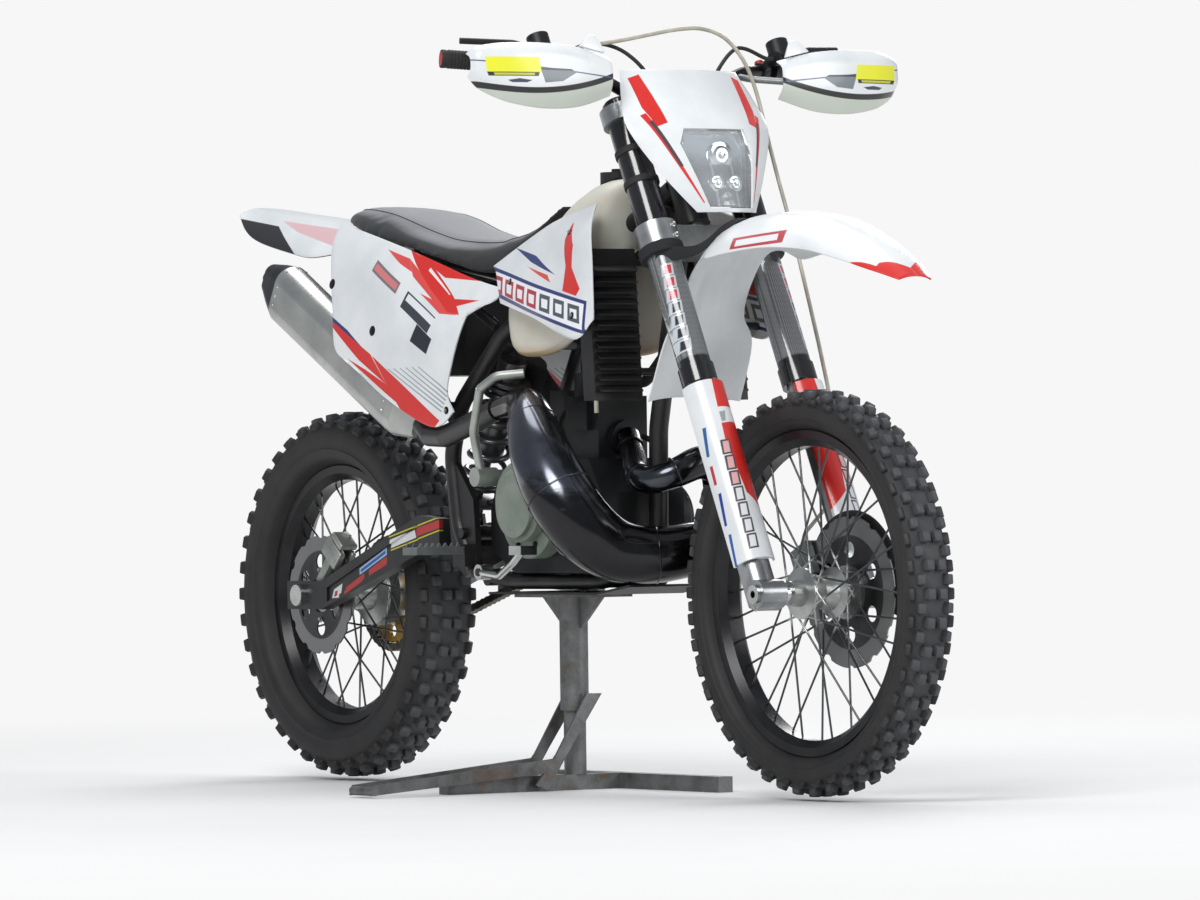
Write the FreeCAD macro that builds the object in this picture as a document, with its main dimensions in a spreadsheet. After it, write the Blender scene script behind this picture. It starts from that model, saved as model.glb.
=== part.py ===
import FreeCAD, Part
import math
import os
import Sketcher

# Dirt bike on its lift stand, in millimetres: +X forward, +Y the rider's left, +Z up.
# The origin is on the floor below the middle of the whole bike.

os.makedirs("parts", exist_ok=True)
doc = FreeCAD.newDocument("dirt_bike")
Vector = FreeCAD.Vector
AXIS_X = Vector(1, 0, 0)
AXIS_Y = Vector(0, 1, 0)
AXIS_Z = Vector(0, 0, 1)

# Driving dimensions: alias, value in mm, degrees or a count
SIZES = (
    ("wheelbase", 1482),
    ("wheel_lift", 4),
    ("front_tyre_radius", 350),
    ("front_tyre_width", 94),
    ("front_bead_radius", 266.7),
    ("front_rim_width", 52),
    ("rear_tyre_radius", 342),
    ("rear_tyre_width", 136),
    ("rear_bead_radius", 228.6),
    ("rear_rim_width", 62),
    ("rim_flange_height", 11),
    ("rim_wall", 3.5),
    ("tyre_seat_gap", 0.3),
    ("lug_height", 13),
    ("tyre_sectors", 40),
    ("spoke_count", 36),
    ("spoke_radius", 1.9),
    ("front_axle_radius", 10),
    ("front_axle_bore_radius", 6.5),
    ("rear_axle_radius", 12.5),
    ("front_hub_half", 62),
    ("front_hub_flange_radius", 44),
    ("rear_hub_half", 66),
    ("rear_hub_flange_radius", 58),
    ("hub_barrel_radius", 27),
    ("front_disc_radius", 130),
    ("front_disc_offset", 68),
    ("rear_disc_radius", 110),
    ("rear_disc_offset", 76),
    ("disc_thickness", 3),
    ("disc_scallop_count", 12),
    ("disc_scallop_radius", 12),
    ("disc_slot_count", 6),
    ("disc_slot_radius", 14),
    ("chain_pitch", 15.875),
    ("rear_teeth", 40),
    ("front_teeth", 13),
    ("chain_offset", 84),
    ("chain_width", 17),
    ("chain_plate_height", 15),
    ("sprocket_thickness", 6),
    ("sprocket_window_count", 8),
    ("sprocket_window_radius", 11),
    ("drive_shaft_radius", 9),
    ("head_angle", 64),
    ("clamp_offset", 22),
    ("axle_lead", 15),
    ("leg_half_spacing", 105),
    ("outer_tube_radius", 29),
    ("inner_tube_radius", 24),
    ("fork_lug_inner", 80),
    ("fork_lug_outer", 130),
    ("outer_tube_bottom", 405),
    ("outer_tube_top", 955),
    ("lower_clamp_bottom", 668),
    ("lower_clamp_height", 44),
    ("top_clamp_bottom", 915),
    ("top_clamp_height", 30),
    ("stem_radius", 15),
    ("head_tube_radius", 27),
    ("bearing_gap", 0.1),
    ("seat_gap", 0.3),
    ("bar_radius", 11),
    ("bar_clamp_radius", 14.3),
    ("grip_radius", 16.5),
    ("grip_length", 122),
    ("bar_half_width", 405),
    ("guard_half_width", 455),
    ("downtube_radius", 17),
    ("rail_radius", 15),
    ("cradle_radius", 13),
    ("subframe_radius", 10),
    ("pivot_x", -190),
    ("pivot_z", 460),
    ("pivot_radius", 9),
    ("swingarm_inner", 94),
    ("swingarm_outer", 120),
    ("engine_half_width", 88),
    ("cover_depth", 62),
    ("cylinder_bore_block", 104),
    ("header_radius", 22),
    ("belly_radius", 61),
    ("pipe_front_radius", 47),
    ("stinger_radius", 17),
    ("silencer_height", 116),
    ("silencer_width", 68),
    ("panel_wall", 3),
    ("tank_half_width", 126),
    ("tank_tunnel_half", 84),
    ("radiator_inner", 62),
    ("radiator_outer", 162),
    ("radiator_depth", 36),
    ("radiator_bottom", 690),
    ("radiator_top", 955),
    ("stand_top", 350),
    ("stand_post_x", -15),
    ("stand_outer_radius", 25.5),
    ("stand_inner_radius", 20),
    ("stand_half_length", 325),
    ("stand_bar_height", 28),
    ("stand_bar_y", 100),
    ("stand_foot_y", 280),
    ("skid_wall", 4),
    ("skid_half_width", 92),
    ("airbox_half_width", 50),
    ("hose_radius", 3.5),
    ("peg_reach", 238),
    ("louvre_pitch", 19),
    ("louvre_depth", 12),
)

sheet = doc.addObject("Spreadsheet::Sheet", "sizes")
for row, (alias, number) in enumerate(SIZES, start=1):
    sheet.set("A%d" % row, alias)
    sheet.set("B%d" % row, str(number))
    sheet.setAlias("B%d" % row, alias)
doc.recompute()


def size(alias):
    return float(sheet.get(alias))


# Places worked out from the driving dimensions

front_axle_x = (size("wheelbase") - size("front_tyre_radius") + size("rear_tyre_radius")) / 2
rear_axle_x = front_axle_x - size("wheelbase")
front_axle_z = size("front_tyre_radius") + size("wheel_lift")
rear_axle_z = size("rear_tyre_radius") + size("wheel_lift")
front_axle = Vector(front_axle_x, 0, front_axle_z)
rear_axle = Vector(rear_axle_x, 0, rear_axle_z)
pivot = Vector(size("pivot_x"), 0, size("pivot_z"))

rake = math.radians(90 - size("head_angle"))
steer_up = Vector(-math.sin(rake), 0, math.cos(rake))
steer_forward = Vector(math.cos(rake), 0, math.sin(rake))
steer_base = front_axle - steer_forward * (size("clamp_offset") + size("axle_lead"))
steer_place = FreeCAD.Placement(steer_base, FreeCAD.Rotation(AXIS_Y, -math.degrees(rake)))

leg_y = size("leg_half_spacing")
leg_x = size("clamp_offset")
stanchion = size("inner_tube_radius")
slider = size("outer_tube_radius")
gap = size("seat_gap")


def steer_point(forward, side, up):
    """A point given ahead of, beside and along the steering axis."""
    return steer_base + steer_forward * forward + AXIS_Y * side + steer_up * up


# Tools for shapes

def piece(label, shape, place=None):
    """A sub-part whose shape is worked out here; its label names its file."""
    node = doc.addObject("Part::Feature", label)
    node.Label = label
    node.Shape = shape
    if place is not None:
        node.Placement = place
    return node


def cylinder_part(name, radius, height, foot, way=AXIS_Y):
    """A cylinder of the document, its sizes given as expressions over the sheet."""
    item = doc.addObject("Part::Cylinder", name)
    item.setExpression("Radius", radius)
    item.setExpression("Height", height)
    item.Placement = FreeCAD.Placement(foot, FreeCAD.Rotation(AXIS_Z, way))
    return item


def box_part(name, length, width, height, corner):
    """A box of the document, its sizes given as expressions over the sheet."""
    item = doc.addObject("Part::Box", name)
    item.setExpression("Length", length)
    item.setExpression("Width", width)
    item.setExpression("Height", height)
    item.Placement = FreeCAD.Placement(corner, FreeCAD.Rotation())
    return item


def cut_part(label, base, tool):
    """One sub-part made by cutting one object of the document from another."""
    whole = doc.addObject("Part::Cut", label)
    whole.Label = label
    whole.Base = base
    whole.Tool = tool
    return whole


def side_pad(label, outline, width):
    """A body drawn in side view as (x, z) points, padded both ways from the bike's middle."""
    body = new_body(label, FreeCAD.Placement())
    sketch = new_sketch(body, "XZ_Plane", label + "_outline")
    draw_outline(sketch, outline)
    pad(body, sketch, width, label + "_pad")
    return body


def joined(label, items):
    """One sub-part made by joining objects of the document."""
    whole = doc.addObject("Part::MultiFuse", label)
    whole.Label = label
    whole.Shapes = items
    whole.Refine = True
    return whole


def moved(shape, place):
    """A copy of the shape, carried along by a placement."""
    copy = shape.copy()
    copy.Placement = place.multiply(copy.Placement)
    return copy


def both_sides(build):
    """The compound of what build(side) makes for the right side, -1, and the left side, 1."""
    return Part.makeCompound([build(-1), build(1)])


def rod(start, end, radius):
    return Part.makeCylinder(radius, (end - start).Length, start, end - start)


def cone(start, end, start_radius, end_radius):
    if abs(start_radius - end_radius) < 1e-6:
        return rod(start, end, start_radius)
    return Part.makeCone(start_radius, end_radius, (end - start).Length, start, end - start)


def box(low, high):
    return Part.makeBox(high.x - low.x, high.y - low.y, high.z - low.z, low)


def fused(shapes):
    whole = shapes[0]
    if len(shapes) > 1:
        whole = shapes[0].multiFuse(shapes[1:])
    return whole.removeSplitter()


def bent_wire(points, bend):
    """Straight runs through the points, joined by tangent arcs of radius bend or as near as fits."""
    edges = []
    here = points[0]
    for before, corner, after in zip(points, points[1:], points[2:]):
        into = (corner - before).normalize()
        out = (after - corner).normalize()
        turn = into.getAngle(out)
        reach = bend * math.tan(turn / 2)
        room = 0.48 * min((corner - before).Length, (after - corner).Length)
        reach = min(reach, room)
        radius = reach / math.tan(turn / 2)
        start = corner - into * reach
        end = corner + out * reach
        inward = (out - into).normalize()
        middle = corner + inward * (radius / math.cos(turn / 2) - radius)
        edges.append(Part.LineSegment(here, start).toShape())
        edges.append(Part.Arc(start, middle, end).toShape())
        here = end
    edges.append(Part.LineSegment(here, points[-1]).toShape())
    return Part.Wire(edges)


def tube(points, radius, bend=60):
    """A round bar along straight runs and tangent arcs."""
    path = bent_wire(points, bend)
    ring = Part.Wire(Part.makeCircle(radius, points[0], points[1] - points[0]))
    return path.makePipeShell([ring], True, True)


def seated_boss(start, end, radius, target):
    """A round boss from start towards end that stops at the target's near face."""
    start_point = Part.Vertex(start)
    parts = rod(start, end, radius).cut(target).Solids
    return min(parts, key=lambda solid: solid.distToShape(start_point)[0])


def cone_run(stations):
    """Welded cones through stations of centre and radius, the rings square to the run."""
    rings = []
    count = len(stations)
    for k, (centre, radius) in enumerate(stations):
        ahead = stations[min(k + 1, count - 1)][0]
        behind = stations[max(k - 1, 0)][0]
        rings.append(Part.Wire(Part.makeCircle(radius, centre, ahead - behind)))
    return Part.makeLoft(rings, True, True)


def flat_solid(points, thickness):
    """A plate with the given outline, pushed out by the vector thickness."""
    return Part.Face(Part.makePolygon(points + [points[0]])).extrude(thickness)


def side_plate(outline, y_near, y_far):
    """A plate drawn in side view as (x, z) points, between two values of y."""
    points = [Vector(x, y_near, z) for x, z in outline]
    return flat_solid(points, Vector(0, y_far - y_near, 0))


def grid_solid(outer, inner):
    """A closed skin between two grids of points with the same rows and columns."""
    rows = len(outer)
    cols = len(outer[0])
    faces = []

    def facet(*corners):
        faces.append(Part.Face(Part.makePolygon(list(corners) + [corners[0]])))

    def patch(a, b, c, d):
        if abs((b - a).cross(c - a).dot(d - a)) < 1e-6:
            facet(a, b, c, d)
        else:
            facet(a, b, c)
            facet(a, c, d)

    for r in range(rows - 1):
        for c in range(cols - 1):
            patch(outer[r][c], outer[r][c + 1], outer[r + 1][c + 1], outer[r + 1][c])
            patch(inner[r][c], inner[r + 1][c], inner[r + 1][c + 1], inner[r][c + 1])
    for r in range(rows - 1):
        for c in (0, cols - 1):
            patch(outer[r][c], outer[r + 1][c], inner[r + 1][c], inner[r][c])
    for c in range(cols - 1):
        for r in (0, rows - 1):
            patch(outer[r][c], outer[r][c + 1], inner[r][c + 1], inner[r][c])
    shell = Part.makeShell(faces)
    shell.sewShape()
    solid = Part.makeSolid(shell)
    if solid.Volume < 0:
        solid.reverse()
    return solid


def arched_shell(stations, wall, columns=7):
    """A mudguard: stations of (x, z, half width, drop of the edge) along its crown line."""
    outer = []
    inner = []
    count = len(stations)
    for k, (x, z, half, drop) in enumerate(stations):
        ahead = stations[min(k + 1, count - 1)]
        behind = stations[max(k - 1, 0)]
        along = Vector(ahead[0] - behind[0], 0, ahead[1] - behind[1]).normalize()
        up = along.cross(AXIS_Y)
        if up.z < 0:
            up = up * -1
        top_row = []
        low_row = []
        for c in range(columns):
            across = 2 * c / (columns - 1) - 1
            sink = drop * across * across
            top_row.append(Vector(x, half * across, z) - up * sink)
            low_row.append(Vector(x, half * across, z) - up * (sink + wall))
        outer.append(top_row)
        inner.append(low_row)
    return grid_solid(outer, inner)


def side_skin(rows, side, wall):
    """A side panel: rows of (x, y, z) points for the right side, thick inwards by wall."""
    outer = [[Vector(x, -side * y, z) for x, y, z in row] for row in rows]
    inner = [[Vector(x, -side * (y + wall), z) for x, y, z in row] for row in rows]
    return grid_solid(outer, inner)


def new_body(label, place):
    body = doc.addObject("PartDesign::Body", label)
    body.Label = label
    body.Placement = place
    return body


def new_sketch(body, plane, name):
    """An empty sketch on one of the body's own origin planes."""
    sketch = body.newObject("Sketcher::SketchObject", name)
    support = [item for item in body.Origin.OriginFeatures if item.Role == plane][0]
    sketch.AttachmentSupport = [(support, "")]
    sketch.MapMode = "FlatFace"
    return sketch


def draw_outline(sketch, points):
    """A closed outline of straight lines whose ends are tied together."""
    first = sketch.GeometryCount
    count = len(points)
    for k in range(count):
        start = Vector(points[k][0], points[k][1], 0)
        end = Vector(points[(k + 1) % count][0], points[(k + 1) % count][1], 0)
        sketch.addGeometry(Part.LineSegment(start, end), False)
    for k in range(count):
        tie = Sketcher.Constraint("Coincident", first + k, 2, first + (k + 1) % count, 1)
        sketch.addConstraint(tie)


def draw_circle(sketch, radius, centre=(0, 0)):
    """A circle whose radius is an expression over the sheet."""
    middle = Vector(centre[0], centre[1], 0)
    number = sketch.addGeometry(Part.Circle(middle, AXIS_Z, 10), False)
    rule = sketch.addConstraint(Sketcher.Constraint("Radius", number, 10))
    sketch.setExpression("Constraints[%d]" % rule, radius)


def pad(body, sketch, length, name, midplane=True):
    feature = body.newObject("PartDesign::Pad", name)
    feature.Profile = sketch
    feature.setExpression("Length", length)
    feature.Midplane = midplane
    body.Tip = feature
    return feature


def pocket_through(body, sketch, name):
    feature = body.newObject("PartDesign::Pocket", name)
    feature.Profile = sketch
    feature.Type = "ThroughAll"
    feature.Midplane = True
    body.Tip = feature
    return feature


def ring_of(body, feature, sketch, count, name):
    """Copies of a feature round the sketch's own normal."""
    pattern = body.newObject("PartDesign::PolarPattern", name)
    pattern.Originals = [feature]
    pattern.Axis = (sketch, ["N_Axis"])
    pattern.Angle = 360
    pattern.setExpression("Occurrences", count)
    body.Tip = pattern
    return pattern


def turned_body(label, outline, place):
    """A body turned about Y from an outline of (radius, offset along Y) points."""
    body = new_body(label, place)
    sketch = new_sketch(body, "XY_Plane", label + "_section")
    draw_outline(sketch, outline)
    turn = body.newObject("PartDesign::Revolution", label + "_turn")
    turn.Profile = sketch
    turn.ReferenceAxis = (sketch, ["V_Axis"])
    turn.Angle = 360
    body.Tip = turn
    return body


def turned_shape(outline, centre):
    """A solid turned about Y from an outline of (radius, offset along Y) points."""
    points = [Vector(radius, offset, 0) for radius, offset in outline]
    face = Part.Face(Part.makePolygon(points + [points[0]]))
    solid = face.revolve(Vector(0, 0, 0), AXIS_Y, 360)
    solid.translate(centre)
    return solid


# Wheels

def rim_outline(bead, width):
    """Cross-section of a drop-centre rim as (radius, offset) points."""
    flange = size("rim_flange_height")
    wall = size("rim_wall")
    half = width / 2
    well = bead - 12
    return [
        (bead + flange, -half), (bead + flange, -half + wall), (bead, -half + wall + 0.8),
        (well, -half * 0.42), (well, half * 0.42), (bead, half - wall - 0.8),
        (bead + flange, half - wall), (bead + flange, half), (bead - wall, half - 1),
        (well - wall, half * 0.5), (well - wall, -half * 0.5), (bead - wall, 1 - half),
    ]


# Knobs of a tyre: sector it starts in, place across as a share of the half width, length
# across, width round the tyre, and the lean of its foot in degrees
FRONT_KNOBS = (
    (0, 0.24, 17, 26, 0),
    (0, -0.24, 17, 26, 0),
    (1, 0.66, 15, 24, 32),
    (1, -0.66, 15, 24, 32),
)
REAR_KNOBS = (
    (0, 0.20, 22, 22, 0),
    (0, -0.20, 22, 22, 0),
    (1, 0.62, 20, 24, 30),
    (1, -0.62, 20, 24, 30),
)


def tyre_section(radius, width, bead, rim_width):
    """Cross-section of the carcass below its knobs, as (radius, offset) points."""
    play = size("tyre_seat_gap")
    flat = math.cos(math.pi / size("tyre_sectors"))
    flange = (bead + size("rim_flange_height") + play) / flat
    seat = rim_width / 2 - size("rim_wall") - 0.8 - play
    half = width / 2
    crown = radius - size("lug_height")
    tall = crown - flange
    right = [
        ((bead + play) / flat, seat), (flange, seat), (flange + 0.45 * tall, half * 0.95),
        (crown - 0.22 * tall, half * 0.9), (crown, half * 0.46),
    ]
    left = [(r, -y) for r, y in reversed(right)]
    return right + left


def ring_shell(section, sectors):
    """A closed ring of flat facets with the given section, standing on the Y axis."""
    rings = []
    for k in range(sectors):
        turn = 2 * math.pi * k / sectors
        ring = [Vector(r * math.cos(turn), y, r * math.sin(turn)) for r, y in section]
        rings.append(ring)
    faces = []
    count = len(section)
    for k in range(sectors):
        here = rings[k]
        ahead = rings[(k + 1) % sectors]
        for c in range(count):
            d = (c + 1) % count
            corners = [here[c], here[d], ahead[d], ahead[c]]
            faces.append(Part.Face(Part.makePolygon(corners + [corners[0]])))
    shell = Part.makeShell(faces)
    shell.sewShape()
    solid = Part.makeSolid(shell)
    if solid.Volume < 0:
        solid.reverse()
    return solid


def knobbly_tyre(label, radius, width, bead, rim_width, knobs, axle):
    """A carcass in flat sectors with knobs standing on its tread and shoulders."""
    sectors = int(size("tyre_sectors"))
    section = tyre_section(radius, width, bead, rim_width)
    shoulder, crown = section[3], section[4]
    flat = math.cos(math.pi / sectors)
    solids = [ring_shell(section, sectors)]
    for start, across, length, wide, lean in knobs:
        y = across * width / 2
        side = 1 if y > 0 else -1
        foot = crown[0] * flat
        if lean:
            share = (abs(y) - crown[1]) / (shoulder[1] - crown[1])
            foot = (crown[0] + share * (shoulder[0] - crown[0])) * flat
        tilt = math.radians(lean) * side
        reach = radius - wide * wide / (8 * radius)
        height = min(size("lug_height"), reach - foot - length / 2 * abs(math.sin(tilt)))
        for k in range(start, sectors, 2):
            turn = 2 * math.pi * (k + 0.5) / sectors
            outward = Vector(math.cos(turn), 0, math.sin(turn))
            round_way = Vector(-math.sin(turn), 0, math.cos(turn))
            normal = outward * math.cos(tilt) + AXIS_Y * math.sin(tilt)
            across_way = normal.cross(round_way)
            knob = Part.makeBox(wide, length, height + 4)
            spin = FreeCAD.Rotation(round_way, across_way, normal, "ZXY")
            corner = outward * foot + AXIS_Y * y - normal * 4
            corner -= round_way * (wide / 2) + across_way * (length / 2)
            knob.Placement = FreeCAD.Placement(corner, spin)
            solids.append(knob)
    tyre = fused(solids)
    tyre.translate(axle)
    return piece(label, tyre)


front_place = FreeCAD.Placement(front_axle, FreeCAD.Rotation())
rear_place = FreeCAD.Placement(rear_axle, FreeCAD.Rotation())
turned_body(
    "front_rim", rim_outline(size("front_bead_radius"), size("front_rim_width")), front_place
)
turned_body(
    "rear_rim", rim_outline(size("rear_bead_radius"), size("rear_rim_width")), rear_place
)
knobbly_tyre(
    "front_tyre", size("front_tyre_radius"), size("front_tyre_width"),
    size("front_bead_radius"), size("front_rim_width"), FRONT_KNOBS, front_axle,
)
knobbly_tyre(
    "rear_tyre", size("rear_tyre_radius"), size("rear_tyre_width"),
    size("rear_bead_radius"), size("rear_rim_width"), REAR_KNOBS, rear_axle,
)


def hub_outline(half, flange_radius, flange_y, bore):
    barrel = size("hub_barrel_radius")
    return [
        (bore, half), (bore, -half), (barrel - 6, -half), (barrel - 4, -flange_y - 5),
        (flange_radius, -flange_y - 3), (flange_radius, -flange_y + 3),
        (barrel + 4, -flange_y + 10), (barrel, 0), (barrel + 4, flange_y - 10),
        (flange_radius, flange_y - 3), (flange_radius, flange_y + 3),
        (barrel - 4, flange_y + 5), (barrel - 6, half),
    ]


front_flange_y = 34
rear_flange_y = 38
front_hub_core = turned_shape(
    hub_outline(
        size("front_hub_half"), size("front_hub_flange_radius"), front_flange_y,
        size("front_axle_radius") + size("bearing_gap"),
    ),
    front_axle,
)
rear_hub_core = turned_shape(
    hub_outline(
        size("rear_hub_half"), size("rear_hub_flange_radius"), rear_flange_y,
        size("rear_axle_radius") + size("bearing_gap"),
    ),
    rear_axle,
)


def laced_spokes(axle, bead, hub_radius, flange_y):
    """Crossed spokes from the flanges to the rim well, half of them leaning each way."""
    count = int(size("spoke_count"))
    rim_radius = bead - 12 - size("rim_wall") - 2 * gap
    lean = math.radians(52)
    spokes = []
    for k in range(count):
        side = 1 if k % 2 else -1
        way = 1 if k % 4 < 2 else -1
        at_rim = 2 * math.pi * k / count
        at_hub = at_rim + way * lean
        start = Vector(
            (hub_radius - 4) * math.cos(at_hub), side * flange_y, (hub_radius - 4) * math.sin(at_hub)
        )
        end = Vector(rim_radius * math.cos(at_rim), side * 5, rim_radius * math.sin(at_rim))
        spokes.append(rod(axle + start, axle + end, size("spoke_radius")))
    return spokes


def brake_disc(label, radius, offset, axle):
    """A flat ring with a scalloped edge and round windows, padded from its middle plane."""
    body = new_body(label, FreeCAD.Placement(axle + AXIS_Y * offset, FreeCAD.Rotation()))
    ring = new_sketch(body, "XZ_Plane", label + "_ring")
    draw_circle(ring, radius)
    draw_circle(ring, "sizes.hub_barrel_radius + 6")
    pad(body, ring, "sizes.disc_thickness", label + "_plate")
    edge = new_sketch(body, "XZ_Plane", label + "_edge")
    outer = float(doc.sizes.get(radius.split(".")[1]))
    draw_circle(edge, "sizes.disc_scallop_radius", (0, outer + 7))
    scallop = pocket_through(body, edge, label + "_scallop")
    ring_of(body, scallop, edge, "sizes.disc_scallop_count", label + "_scallops")
    window = new_sketch(body, "XZ_Plane", label + "_window")
    draw_circle(window, "sizes.disc_slot_radius", (0, outer * 0.56))
    slot = pocket_through(body, window, label + "_slot")
    ring_of(body, slot, window, "sizes.disc_slot_count", label + "_slots")
    return body


def ring_seat(axle, side, half, face, radius):
    """The hub's machined seat for a disc or a sprocket, open in the middle for the spacer."""
    low = axle + AXIS_Y * side * (half - 5)
    high = axle + AXIS_Y * side * (face - gap)
    return rod(low, high, radius).cut(rod(low, high, size("hub_barrel_radius") - 7))


front_disc_face = size("front_disc_offset") - size("disc_thickness") / 2
rear_disc_face = size("rear_disc_offset") - size("disc_thickness") / 2
sprocket_face = size("chain_offset") - size("sprocket_thickness") / 2
front_seats = [ring_seat(front_axle, 1, size("front_hub_half"), front_disc_face, 46)]
rear_seats = [
    ring_seat(rear_axle, -1, size("rear_hub_half"), rear_disc_face, 46),
    ring_seat(rear_axle, 1, size("rear_hub_half"), sprocket_face, 60),
]
piece(
    "front_hub",
    fused([front_hub_core] + front_seats + laced_spokes(
        front_axle, size("front_bead_radius"), size("front_hub_flange_radius"), front_flange_y
    )),
)
piece(
    "rear_hub",
    fused([rear_hub_core] + rear_seats + laced_spokes(
        rear_axle, size("rear_bead_radius"), size("rear_hub_flange_radius"), rear_flange_y
    )),
)
brake_disc("front_disc", "sizes.front_disc_radius", size("front_disc_offset"), front_axle)
brake_disc("rear_disc", "sizes.rear_disc_radius", -size("rear_disc_offset"), rear_axle)


# Chain drive

rear_pitch_radius = size("chain_pitch") / (2 * math.sin(math.pi / size("rear_teeth")))
front_pitch_radius = size("chain_pitch") / (2 * math.sin(math.pi / size("front_teeth")))
drive_shaft = Vector(size("pivot_x") + 82, 0, size("pivot_z") - 4)


def chain_place(distance):
    """The point of the chain's middle line at a distance along it, and the way outwards."""
    run = drive_shaft - rear_axle
    slope = math.atan2(run.z, run.x)
    tilt = math.asin((rear_pitch_radius - front_pitch_radius) / run.Length)
    straight = run.Length * math.cos(tilt)
    front_arc = front_pitch_radius * (math.pi - 2 * tilt)
    rear_arc = rear_pitch_radius * (math.pi + 2 * tilt)
    total = 2 * straight + front_arc + rear_arc
    distance = distance % total
    top = slope + math.pi / 2 - tilt
    low = slope - math.pi / 2 + tilt
    if distance < straight:
        centre, radius, angle = rear_axle, rear_pitch_radius, top
        along = distance
    elif distance < straight + front_arc:
        centre, radius = drive_shaft, front_pitch_radius
        angle = top - (distance - straight) / radius
        along = 0
    elif distance < 2 * straight + front_arc:
        centre, radius, angle = drive_shaft, front_pitch_radius, low
        along = distance - straight - front_arc
    else:
        centre, radius = rear_axle, rear_pitch_radius
        angle = low - (distance - 2 * straight - front_arc) / radius
        along = 0
    out = Vector(math.cos(angle), 0, math.sin(angle))
    ahead = Vector(out.z, 0, -out.x)
    return centre + out * radius + ahead * along, out, total


half_plate = size("chain_plate_height") / 2
waist = 1.6


def chain_edge(sign):
    """One edge of the link plates: full height at each pin and a waist between pins."""
    total = chain_place(0)[2]
    links = 2 * round(total / size("chain_pitch") / 2)
    points = []
    for k in range(2 * links):
        point, out, total = chain_place(total * k / (2 * links))
        height = half_plate if k % 2 == 0 else half_plate - waist
        points.append(point + out * sign * height)
    return points


chain_low = AXIS_Y * (size("chain_offset") - size("chain_width") / 2)
edges = []
for sign in (1, -1):
    corners = [point + chain_low for point in chain_edge(sign)]
    edges.append(Part.makePolygon(corners + [corners[0]]))
chain_band = Part.Face(edges[0]).cut(Part.Face(edges[1]))
piece("chain", chain_band.extrude(AXIS_Y * size("chain_width")))


def sprocket(label, centre, pitch_radius, bore, teeth, window_radius):
    """A toothed wheel whose tips run just under the chain, with round windows in its web."""
    tip = pitch_radius - half_plate - 1
    body = new_body(
        label, FreeCAD.Placement(centre + AXIS_Y * size("chain_offset"), FreeCAD.Rotation())
    )
    blank = new_sketch(body, "XZ_Plane", label + "_blank")
    draw_circle(blank, str(tip))
    draw_circle(blank, bore)
    pad(body, blank, "sizes.sprocket_thickness", label + "_plate")
    space = new_sketch(body, "XZ_Plane", label + "_space")
    draw_circle(space, "sizes.chain_pitch * 0.3", (0, tip + 1.5))
    gap_cut = pocket_through(body, space, label + "_tooth_space")
    ring_of(body, gap_cut, space, teeth, label + "_teeth")
    if window_radius:
        window = new_sketch(body, "XZ_Plane", label + "_window")
        draw_circle(window, window_radius, (0, tip * 0.76))
        hole = pocket_through(body, window, label + "_hole")
        ring_of(body, hole, window, "sizes.sprocket_window_count", label + "_holes")
    return body


sprocket(
    "rear_sprocket", rear_axle, rear_pitch_radius, "sizes.hub_barrel_radius + 6",
    "sizes.rear_teeth", "sizes.sprocket_window_radius",
)
drive_wheel = sprocket(
    "drive_wheel", drive_shaft, front_pitch_radius, "sizes.drive_shaft_radius",
    "sizes.front_teeth", "",
)
drive_stub = cylinder_part(
    "drive_stub", "sizes.drive_shaft_radius",
    "sizes.chain_offset + 8 - sizes.engine_half_width * 0.8",
    drive_shaft + AXIS_Y * size("engine_half_width") * 0.8,
)
joined("front_sprocket", [drive_wheel, drive_stub])

# Fork, clamps and steering stem, built square and then laid back by the rake

lug_inner = size("fork_lug_inner")
lug_outer = size("fork_lug_outer")


def fork_leg(side):
    y = side * leg_y
    top = size("outer_tube_top")
    bottom = size("outer_tube_bottom")
    outer = rod(Vector(leg_x, y, bottom), Vector(leg_x, y, top), slider)
    seal = rod(Vector(leg_x, y, bottom), Vector(leg_x, y, bottom + 34), slider + 3)
    bore = rod(Vector(leg_x, y, bottom), Vector(leg_x, y, bottom + 60), stanchion + gap)
    return fused([outer, seal]).cut(bore)


def fork_lower_leg(side):
    """A chromed tube in its cast lug, which is bored for the axle."""
    y = side * leg_y
    lead = leg_x + size("axle_lead")
    low = min(side * lug_inner, side * lug_outer)
    eye = Part.makeCylinder(25, lug_outer - lug_inner, Vector(lead, low, 0), AXIS_Y)
    boot = rod(Vector(leg_x, y, -8), Vector(leg_x, y, 78), stanchion + 4)
    web = box(Vector(leg_x, low, -24), Vector(lead, low + lug_outer - lug_inner, 24))
    width = box(Vector(leg_x - 60, low, -40), Vector(lead + 60, low + lug_outer - lug_inner, 90))
    lug = fused([eye, boot, web]).common(width)
    bore = Part.makeCylinder(
        size("front_axle_radius") + gap, lug_outer - lug_inner, Vector(lead, low, 0), AXIS_Y
    )
    tube_part = rod(
        Vector(leg_x, y, 20), Vector(leg_x, y, size("outer_tube_bottom") + 50), stanchion
    )
    return fused([lug, tube_part]).cut(bore)


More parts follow.
